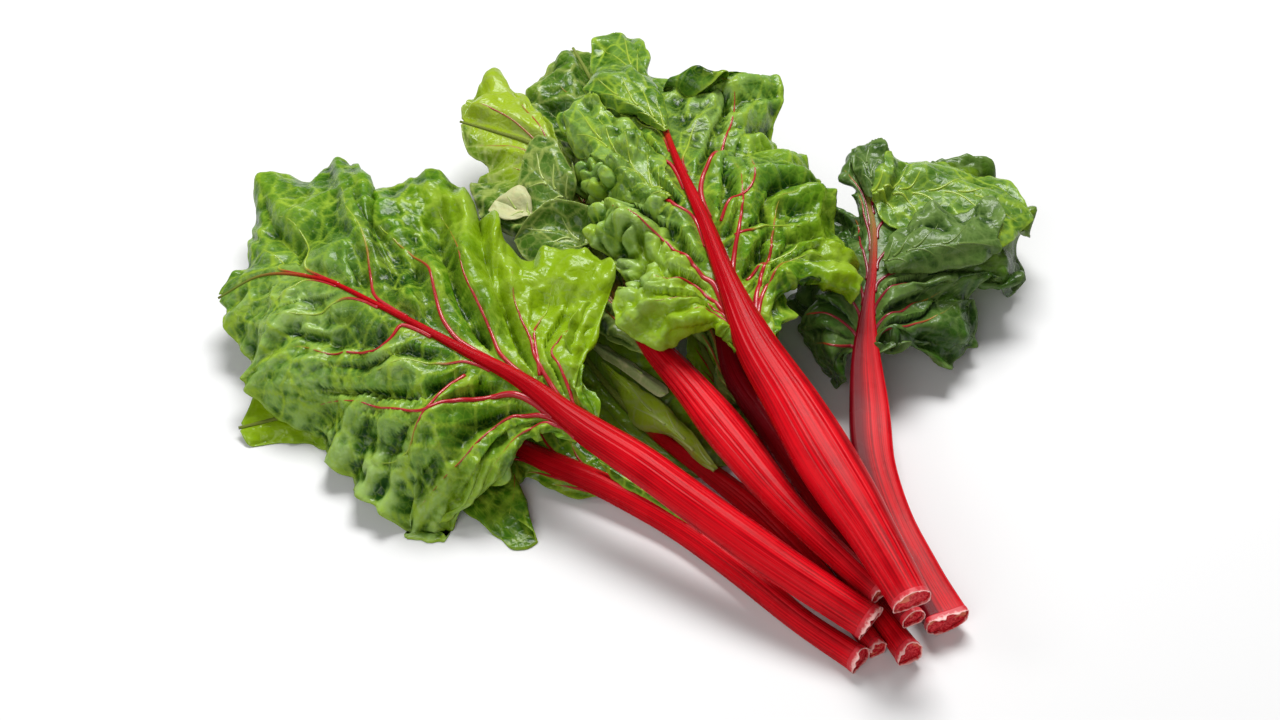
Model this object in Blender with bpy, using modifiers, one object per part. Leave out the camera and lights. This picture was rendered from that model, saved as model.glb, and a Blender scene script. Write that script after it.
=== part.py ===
"""A bunch of red chard lying on a table: eight leaves, each a ribbed stalk and a blade.

Every stalk starts at its cut end and runs on as the midrib of its blade, thinning to the tip. The
stalk's hollow side is underneath, except on the right-hand leaf, which lies with its channel up.
The blade is a thin sheet that passes under the midrib and swells out to its margin. The leaves
lie on each other in layers, and the lowest ones touch the table at height zero.
"""
import math

import bmesh
import bpy
import numpy as np

MM = 0.001
BUNCH_NAME = "chard_bunch"
BUNCH_MIDDLE = np.array([-4.0, 58.0, 0.0])  # mm, the middle of the bunch's footprint

BLADE_THICKNESS = 0.8  # mm
RIB_GAP = 0.3  # mm between a midrib and the sheet under it
TABLE_GAP = 0.5  # mm, how low the middle of a sheet may lie
STALK_SIDES = 10
STEP_ALONG_STALK = 20.0  # mm between two rings of a stalk below its blade
BLADE_ROWS = 18  # strips from the blade's base to its tip
BLADE_COLUMNS = 4  # strips from the foot of the midrib to the margin
BLADE_END = 0.985  # the sheet stops this far along, so that its tip is a short edge
TIP_SPREAD = 1.5  # above 1, the strips crowd together at the base of the blade
CHANNEL_DEPTH = 0.3  # of half the stalk's depth
LOOK_AHEAD = 1.0  # mm either way, over which the spine's direction is taken
WELD = 0.01  # mm, how near two vertices count as one
SHARP_ANGLE = 50.0  # degrees
STALK_ROUGHNESS = 0.35
BLADE_ROUGHNESS = 0.4
ROW_SHARES = np.linspace(0.0, BLADE_END, BLADE_ROWS + 1)

STALK_RED = (0.60, 0.012, 0.035)
STALK_PURPLE = (0.30, 0.010, 0.040)
BLADE_GREEN = (0.075, 0.19, 0.020)
BLADE_DARK = (0.018, 0.065, 0.014)
BLADE_PALE = (0.20, 0.36, 0.035)


class Leaf:
    """One leaf, in millimetres.

    spine: points of the stalk and midrib from the cut end, (x, y, z, width, depth)
    base: which point of the spine the blade starts at
    left, right: the margin from the base to the tip, seen along the spine, as rows of
        (share of the way to the tip, x, y, z, swell of the sheet between midrib and margin)
    """

    def __init__(self, name, spine, base, left, right, colour, red=STALK_RED, channel_up=False):
        self.name = name
        self.spine = np.array(spine, float)
        self.base = base
        self.left = np.array(left, float)
        self.right = np.array(right, float)
        self.colour = colour
        self.red = red
        self.channel_up = channel_up


LEAVES = [
    Leaf(
        "left", base=4, colour=BLADE_GREEN,
        spine=[(112, -155, 20, 19, 16), (72, -127, 28, 20, 16), (29, -94, 37, 21, 16),
               (-1, -70, 43, 20, 14), (-27, -51, 47, 17, 12), (-38, -42, 49, 14, 10),
               (-57, -27, 54, 10, 8), (-96, -2, 58, 5.2, 4.4), (-138, 30, 56, 3.0, 2.8),
               (-176, 60, 48, 2.2, 2.0), (-209, 73, 36, 1.7, 1.5), (-231, 69, 24, 1.5, 1.2)],
        left=[(.08, -54, -48, 40, 2), (.14, -65, -50, 34, 4), (.20, -69, -64, 22, 6),
              (.27, -83, -78, 10, 9), (.34, -96, -96, 0, 12), (.42, -124, -90, 2, 13),
              (.47, -127, -80, 8, 13), (.54, -152, -54, 10, 13), (.62, -178, -31, 10, 12),
              (.70, -195, -5, 12, 12), (.78, -202, 15, 14, 10), (.86, -214, 33, 18, 8),
              (.94, -225, 52, 20, 4)],
        right=[(.06, -37, -2, 58, 2), (.12, -30, 22, 62, 3), (.17, -14, 38, 60, 3),
               (.22, -21, 56, 62, 3), (.28, -46, 66, 64, 4), (.34, -71, 69, 62, 6),
               (.42, -91, 113, 60, 6), (.48, -112, 134, 54, 6), (.55, -133, 130, 52, 6),
               (.61, -157, 126, 46, 6), (.66, -163, 157, 44, 5), (.74, -191, 163, 36, 5),
               (.82, -218, 148, 30, 5), (.90, -222, 104, 30, 4), (.96, -231, 82, 28, 2)]),
    Leaf(
        "top", base=4, colour=BLADE_GREEN,
        spine=[(130, -161, 43, 20, 16), (112, -119, 48, 25, 17), (94, -81, 53, 31, 18),
               (78, -45, 58, 28, 16), (60, -8, 64, 22, 14), (46, 34, 70, 12, 9.5),
               (34, 80, 73, 8.0, 6.4), (21, 126, 72, 4.6, 4.2), (11, 178, 64, 3.0, 2.8),
               (-3, 236, 52, 2.2, 2.0), (-18, 284, 39, 1.8, 1.4)],
        left=[(.04, 43, 20, 58, 2), (.08, 32, 23, 58, 4), (.13, 19, 16, 54, 6),
              (.18, 6, 3, 54, 8), (.23, -8, 10, 56, 8), (.28, -13, 21, 58, 8),
              (.33, -4, 33, 60, 8), (.38, -16, 65, 56, 8), (.44, -22, 79, 56, 8),
              (.50, -22, 103, 56, 8), (.56, -38, 119, 54, 8), (.62, -46, 131, 54, 8),
              (.68, -36, 152, 54, 8), (.75, -47, 188, 52, 8), (.80, -24, 201, 54, 6),
              (.85, -30, 219, 49, 6), (.90, -34, 240, 44, 5), (.95, -29, 271, 40, 4)],
        right=[(.05, 71, 20, 56, 2), (.10, 81, 57, 58, 4), (.16, 95, 61, 58, 5),
               (.22, 107, 57, 58, 4), (.27, 113, 43, 54, 4), (.32, 122, 62, 58, 4),
               (.38, 115, 83, 60, 5), (.45, 108, 107, 58, 6), (.52, 102, 131, 60, 6),
               (.60, 86, 168, 58, 6), (.66, 83, 181, 56, 6), (.72, 84, 216, 54, 6),
               (.78, 60, 228, 56, 6), (.85, 34, 198, 60, 4), (.92, 9, 226, 50, 3),
               (.96, -5, 268, 43, 2)]),
    Leaf(
        "right", base=5, colour=BLADE_DARK, channel_up=True,
        spine=[(151, -146, 9, 23, 17), (140, -119, 11, 21, 17), (129, -87, 14, 20, 16),
               (121, -52, 19, 21, 15), (120, -13, 25, 21, 12), (120, 18, 32, 15, 9),
               (122, 42, 38, 8, 6), (126, 70, 44, 5, 4), (128, 97, 48, 4, 3),
               (126, 122, 51, 3, 2.4), (123, 158, 54, 1.8, 1.4)],
        left=[(.06, 110, 18, 14, 4), (.12, 104, 17, 3, 6), (.18, 94, 24, 3, 8),
              (.25, 87, 47, 5, 8), (.32, 80, 66, 8, 8), (.40, 77, 90, 14, 8),
              (.48, 86, 105, 22, 8), (.56, 98, 113, 32, 6), (.64, 108, 128, 38, 6),
              (.72, 115, 123, 42, 5), (.80, 119, 129, 46, 4), (.87, 110, 139, 48, 4),
              (.94, 112, 155, 52, 3)],
        right=[(.05, 132, 33, 34, 3), (.09, 141, 32, 28, 5), (.13, 155, 27, 18, 8),
               (.18, 170, 32, 10, 8), (.23, 188, 40, 14, 8), (.28, 193, 57, 24, 6),
               (.33, 184, 58, 32, 6), (.38, 194, 76, 36, 8), (.44, 201, 76, 26, 6),
               (.50, 213, 75, 22, 6), (.55, 223, 92, 26, 6), (.60, 214, 106, 34, 4),
               (.64, 222, 112, 36, 6), (.70, 216, 144, 38, 8), (.76, 200, 162, 42, 10),
               (.82, 169, 164, 48, 10), (.88, 149, 157, 50, 6), (.94, 136, 157, 54, 4)]),
    Leaf(
        "front", base=4, colour=BLADE_GREEN,
        spine=[(107, -167, 6, 13, 15), (80, -142, 5, 12, 14), (54, -113, 5, 15, 13),
               (25, -85, 6, 15, 12), (-19, -55, 9, 14, 10), (-51, -37, 10, 13, 7),
               (-90, -13, 10, 5, 4), (-128, -4, 9, 4, 3), (-170, -1, 8, 3, 2.4),
               (-213, -11, 5, 1.8, 1.4)],
        left=[(.10, -32, -59, 2, 0), (.22, -47, -51, 2, 0), (.34, -63, -46, 3, 0),
              (.41, -66, -70, 2, 1), (.47, -51, -86, 1, 2), (.53, -65, -92, 1, 3),
              (.60, -79, -78, 1, 3), (.70, -115, -46, 2, 3), (.80, -158, -26, 2, 2),
              (.88, -185, -19, 2, 2), (.95, -206, -21, 2, 1)],
        right=[(.06, -12, -46, 6, 0), (.14, -17, -36, 7, 1), (.24, -28, -24, 8, 1),
               (.36, -46, -8, 8, 2), (.50, -68, 14, 8, 2), (.62, -93, 38, 10, 3),
               (.75, -137, 48, 10, 3), (.86, -180, 42, 10, 3), (.94, -203, 15, 10, 2)]),
    Leaf(
        "middle", base=5, colour=BLADE_PALE,
        spine=[(117, -142, 26, 10, 12), (100, -123, 29, 12, 14), (74, -92, 34, 16, 14),
               (48, -51, 38, 22, 14), (26, -15, 41, 19, 12), (8, 12, 43, 15, 10),
               (-8, 43, 45, 9, 6), (-23, 82, 46, 6, 4.5), (-36, 123, 46, 5, 3.5),
               (-45, 152, 46, 4, 3), (-60, 171, 47, 3, 2.4), (-82, 184, 46, 2.2, 1.8),
               (-104, 196, 44, 1.5, 1.2)],
        left=[(.08, -13, 28, 36, 2), (.16, -27, 45, 38, 3), (.25, -44, 74, 40, 4),
              (.36, -63, 91, 42, 4), (.46, -77, 102, 42, 4), (.56, -89, 114, 42, 4),
              (.66, -94, 139, 41, 3), (.76, -93, 155, 40, 2), (.84, -88, 163, 40, 0),
              (.93, -100, 174, 41, 0)],
        right=[(.10, 21, 33, 40, 2), (.25, 11, 72, 42, 3), (.40, -8, 117, 42, 3),
               (.52, -23, 156, 42, 2), (.62, -34, 175, 42, 2), (.70, -54, 196, 44, 2),
               (.78, -69, 218, 45, 3), (.85, -83, 239, 46, 4), (.93, -96, 222, 46, 3)]),
    Leaf(
        "back", base=3, colour=BLADE_PALE, red=STALK_PURPLE,
        spine=[(133, -153, 20, 12, 11), (115, -119, 19, 12, 12), (93, -78, 20, 15, 13),
               (69, -28, 24, 17, 12), (52, 3, 29, 15, 10), (44, 38, 33, 10, 7),
               (33, 84, 32, 8, 5.5), (14, 137, 29, 6, 4.5), (-6, 190, 26, 4, 3.5),
               (-24, 245, 24, 3, 2.4), (-41, 293, 22, 1.8, 1.4)],
        left=[(.08, 47, -14, 19, 2), (.16, 40, 10, 22, 3), (.28, 27, 43, 26, 3),
              (.45, 5, 84, 24, 3), (.58, -23, 150, 22, 3), (.70, -46, 203, 20, 3),
              (.80, -65, 231, 20, 4), (.88, -65, 250, 22, 4), (.94, -52, 275, 24, 3)],
        right=[(.20, 70, 38, 28, 2), (.40, 50, 108, 24, 3), (.60, 29, 168, 20, 3),
               (.80, 6, 230, 20, 3), (.92, -15, 272, 24, 2)]),
    Leaf(
        "low", base=4, colour=BLADE_DARK,
        spine=[(116, -160, 5, 9, 13), (100, -130, 5, 11, 13), (80, -98, 6, 14, 12),
               (58, -68, 7, 13, 10), (34, -43, 8, 11, 8), (8, -20, 11, 7, 5),
               (-14, 6, 14, 4, 3), (-30, 30, 18, 3, 2.4), (-42, 50, 22, 2.4, 2),
               (-50, 66, 24, 1.6, 1.2)],
        left=[(.10, 20, -44, 4, 0), (.20, 5, -34, 5, 1), (.35, -10, -21, 6, 2),
              (.50, -24, -4, 8, 3), (.62, -36, 14, 10, 3), (.76, -45, 32, 14, 3),
              (.88, -53, 50, 19, 2)],
        right=[(.08, 48, -38, 5, 1), (.20, 44, -24, 8, 1), (.35, 36, -4, 12, 1),
               (.50, 27, 12, 15, 2), (.66, 11, 36, 19, 3), (.80, -11, 56, 22, 3),
               (.93, -33, 68, 25, 2)]),
    Leaf(
        "inner", base=4, colour=BLADE_GREEN,
        spine=[(131, -166, 9, 13, 16), (113, -128, 6, 11, 13), (94, -89, 5, 11, 12),
               (77, -53, 6, 11, 10), (60, -24, 10, 8, 8), (48, 1, 14, 5, 4),
               (37, 27, 17, 3.5, 3), (27, 58, 20, 1.8, 1.4)],
        left=[(.15, 48, -18, 6, 1), (.40, 38, 3, 9, 2), (.70, 27, 31, 14, 2)],
        right=[(.15, 73, -13, 7, 1), (.40, 67, 15, 10, 2), (.70, 52, 45, 14, 2)]),
]


def clear_scene():
    """Remove every object that the file opened with."""
    for thing in list(bpy.data.objects):
        bpy.data.objects.remove(thing, do_unlink=True)


def plain_material(name, colour, roughness):
    """A material with one colour, and no metal in it."""
    material = bpy.data.materials.new(name)
    material.use_nodes = True
    shader = material.node_tree.nodes["Principled BSDF"]
    shader.inputs["Base Color"].default_value = (*colour, 1.0)
    shader.inputs["Roughness"].default_value = roughness
    shader.inputs["Metallic"].default_value = 0.0
    material.diffuse_color = (*colour, 1.0)
    return material


def smooth_through(stations, values, wanted):
    """Values of a smooth curve that has the given values at the given stations."""
    slopes = np.gradient(values, stations, axis=0)
    low = np.clip(np.searchsorted(stations, wanted, side="right") - 1, 0, len(stations) - 2)
    width = (stations[low + 1] - stations[low])[:, None]
    u = (wanted - stations[low])[:, None] / width
    start = (1 + 2 * u) * (1 - u) ** 2 * values[low] + u * (1 - u) ** 2 * width * slopes[low]
    end = u**2 * (3 - 2 * u) * values[low + 1] + u**2 * (u - 1) * width * slopes[low + 1]
    return start + end


def stations_of(points):
    """How far along a route each of its points is."""
    steps = np.linalg.norm(np.diff(points, axis=0), axis=1)
    return np.concatenate([[0.0], np.cumsum(steps)])


def unit(vectors):
    return vectors / np.linalg.norm(vectors, axis=-1, keepdims=True)


def spine_at(leaf, distances):
    """Centre, sideways and upward directions, width and depth of the spine at each distance."""
    reach = stations_of(leaf.spine[:, :3])
    rows = smooth_through(reach, leaf.spine, distances)
    ahead = smooth_through(reach, leaf.spine[:, :3], np.minimum(distances + LOOK_AHEAD, reach[-1]))
    behind = smooth_through(reach, leaf.spine[:, :3], np.maximum(distances - LOOK_AHEAD, 0.0))
    forward = unit(ahead - behind)
    sideways = unit(np.cross(forward, (0.0, 0.0, 1.0)))
    upward = np.cross(sideways, forward)
    return rows[:, :3], sideways, upward, rows[:, 3:4], rows[:, 4:5]


def row_stations(leaf):
    """Distances along the spine where the blade's cross lines meet the midrib."""
    reach = stations_of(leaf.spine[:, :3])
    return reach[leaf.base] + (reach[-1] - reach[leaf.base]) * ROW_SHARES**TIP_SPREAD


def stalk_section(angles, channel_up):
    """Outline of a stalk one unit wide and deep: round on its back, hollowed on the other side."""
    across = 0.5 * np.cos(angles)
    back = 0.5 * np.maximum(np.sin(angles), 0.0)
    floor = np.minimum(np.sin(angles), 0.0)
    hollow = -0.5 * np.sqrt(-floor) + 0.5 * CHANNEL_DEPTH * floor**2
    high = np.where(floor < 0.0, hollow, back)
    return across, -high if channel_up else high


def place_vertices(shape, points):
    """Move a mesh's vertices to the given places, in millimetres around the bunch's middle."""
    for vertex, point in zip(shape.verts, (points - BUNCH_MIDDLE) * MM):
        vertex.co = point


def finish(name, shape, material, collection):
    """Turn a bmesh into a named, smooth object of the bunch."""
    mesh = bpy.data.meshes.new(name)
    shape.to_mesh(mesh)
    shape.free()
    mesh.shade_smooth()
    mesh.set_sharp_from_angle(angle=math.radians(SHARP_ANGLE))
    mesh.materials.append(material)
    thing = bpy.data.objects.new(name, mesh)
    collection.objects.link(thing)
    return thing


def make_stalk(leaf, collection):
    """A strip of rings wrapped round the spine, from the cut end to the tip of the midrib."""
    base = stations_of(leaf.spine[:, :3])[leaf.base]
    below = np.linspace(0.0, base, int(base / STEP_ALONG_STALK) + 1)
    stations = np.concatenate([below[:-1], row_stations(leaf)])
    rings = len(stations) - 1
    centre, sideways, upward, width, depth = spine_at(leaf, stations)
    across, high = stalk_section(np.linspace(0, 2 * math.pi, STALK_SIDES + 1), leaf.channel_up)
    points = (centre[:, None] + (sideways * width)[:, None] * across[None, :, None]
              + (upward * depth)[:, None] * high[None, :, None])

    shape = bmesh.new()
    bmesh.ops.create_grid(shape, x_segments=STALK_SIDES, y_segments=rings)
    place_vertices(shape, points.reshape(-1, 3))
    bmesh.ops.remove_doubles(shape, verts=shape.verts, dist=WELD * MM)
    bmesh.ops.holes_fill(shape, edges=shape.edges, sides=STALK_SIDES)
    bmesh.ops.recalc_face_normals(shape, faces=shape.faces)
    material = plain_material("stalk_" + leaf.name, leaf.red, STALK_ROUGHNESS)
    return finish("stalk_" + leaf.name, shape, material, collection)


def blade_points(leaf):
    """Grid of points from the left margin, under the midrib, to the right margin."""
    centre, sideways, upward, width, depth = spine_at(leaf, row_stations(leaf))
    under = centre - upward * (0.5 * depth + RIB_GAP + 0.5 * BLADE_THICKNESS)
    tip = leaf.spine[-1, :3] + under[-1] - centre[-1]
    columns = [under]
    for side, margin in ((-1, leaf.left), (1, leaf.right)):
        foot = under + side * sideways * (0.5 * width + RIB_GAP)
        start = foot[0] + side * sideways[0]
        rows = np.vstack([[0.0, *start, 0.0], margin, [1.0, *tip, 0.0]])
        edge = smooth_through(rows[:, 0], rows[:, 1:], ROW_SHARES)
        reach_out = np.linspace(0.0, 1.0, BLADE_COLUMNS + 1)
        half = []
        for share in reach_out:
            point = foot + (edge[:, :3] - foot) * share
            point[:, 2] += edge[:, 3] * 4 * share * (1 - share)
            half.append(point)
        columns = half[::-1] + columns if side < 0 else columns + half
    points = np.stack(columns, axis=1)
    points[..., 2] = np.maximum(points[..., 2], TABLE_GAP)
    return points


def make_blade(leaf, collection):
    """The leaf's green sheet, with its thickness."""
    points = blade_points(leaf)
    shape = bmesh.new()
    bmesh.ops.create_grid(shape, x_segments=points.shape[1] - 1, y_segments=BLADE_ROWS)
    place_vertices(shape, points.reshape(-1, 3))
    material = plain_material("blade_" + leaf.name, leaf.colour, BLADE_ROUGHNESS)
    blade = finish("blade_" + leaf.name, shape, material, collection)
    wall = blade.modifiers.new("thickness", "SOLIDIFY")
    wall.thickness = BLADE_THICKNESS * MM
    wall.offset = 0.0
    return blade


def build():
    clear_scene()
    bunch = bpy.data.collections.new(BUNCH_NAME)
    bpy.context.scene.collection.children.link(bunch)
    for leaf in LEAVES:
        make_stalk(leaf, bunch)
        make_blade(leaf, bunch)


build()
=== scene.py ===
"""A bunch of red chard on a table: glossy crimson stalks and big, crinkled green leaves.

Each leaf is one stalk, which thins into the midrib, one crinkled sheet, the side veins that stand
proud of it, and a torn rim of pale skin where the knife cut the stalk. Twelve more lobes are parts
of blades that fold over. Lengths are millimetres in the pile's own layout, and each
mesh is moved to the bunch's middle as it is made.
"""

import math

import bmesh
import bpy
import numpy as np
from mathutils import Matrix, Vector
from mathutils.kdtree import KDTree


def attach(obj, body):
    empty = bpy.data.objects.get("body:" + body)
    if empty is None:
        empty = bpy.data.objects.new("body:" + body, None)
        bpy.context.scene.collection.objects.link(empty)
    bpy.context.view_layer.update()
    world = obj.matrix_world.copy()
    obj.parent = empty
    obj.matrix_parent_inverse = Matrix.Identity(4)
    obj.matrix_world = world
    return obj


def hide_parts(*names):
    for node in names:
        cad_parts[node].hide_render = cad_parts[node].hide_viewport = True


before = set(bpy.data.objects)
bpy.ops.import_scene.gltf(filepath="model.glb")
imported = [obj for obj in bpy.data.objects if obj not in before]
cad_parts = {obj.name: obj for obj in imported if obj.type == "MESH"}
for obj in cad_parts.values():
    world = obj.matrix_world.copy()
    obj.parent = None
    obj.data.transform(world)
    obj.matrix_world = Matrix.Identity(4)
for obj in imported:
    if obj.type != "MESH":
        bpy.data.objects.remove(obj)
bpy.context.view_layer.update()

MM = 0.001
BUNCH_MIDDLE = np.array([-4.0, 58.0, 0.0])  # mm, the middle of the bunch's footprint
TABLE_GAP = 0.4  # mm, how low a sheet may lie
TIP_SPREAD = 1.5  # above 1, a blade's cross lines crowd together at its base
BLADE_END = 0.993  # share of the way to the tip where a blade's sheet stops
SHEET_THICKNESS, SKIN_THICKNESS = 0.55, 0.3  # mm, of a blade and of the torn skin
WELD = 0.004  # mm, points nearer to each other than this become one
LOBE_RIB_WIDTHS, LOBE_RIB_DEPTH = (1.8, 1.6, 1.3, 0.9), 1.0  # mm
LEAF_GAP, LEAF_LIFT = 1.0, 9.0  # mm over what a leaf lies on, and the most that lifts it
LOBE_GAP, LOBE_LIFT = 2.2, 12.0
HEIGHT_STEP = 1.5  # mm between the places where the pile's height is known
VEIN_SIDES, STALK_SIDES = 8, 112
CHANNEL_DEPTH = 0.3  # of half the stalk's depth
LATTICE = np.random.RandomState(7).rand(32, 32, 32) * 2 - 1


class Leaf:
    """One leaf, in millimetres.

    spine: points of the stalk and midrib from the cut end, (x, y, z, width, depth)
    base: which point of the spine the blade starts at
    left, right: the margin from the base to the tip, seen along the spine, as rows of
        (share of the way to the tip, x, y, z, swell of the sheet between midrib and margin)
    """

    def __init__(self, name, spine, base, left, right, channel_up=False):
        self.name = name
        self.spine = np.array(spine, float)
        self.base = base
        self.left = np.array(left, float)
        self.right = np.array(right, float)
        self.channel_up = channel_up


def lobe(name, spine, left, right):
    """A folded part of a blade: a leaf with no stalk, whose small rib thins along its four points."""
    rows = [(*place, width, LOBE_RIB_DEPTH) for place, width in zip(spine, LOBE_RIB_WIDTHS)]
    return Leaf(name, rows, 0, left, right)


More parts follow.
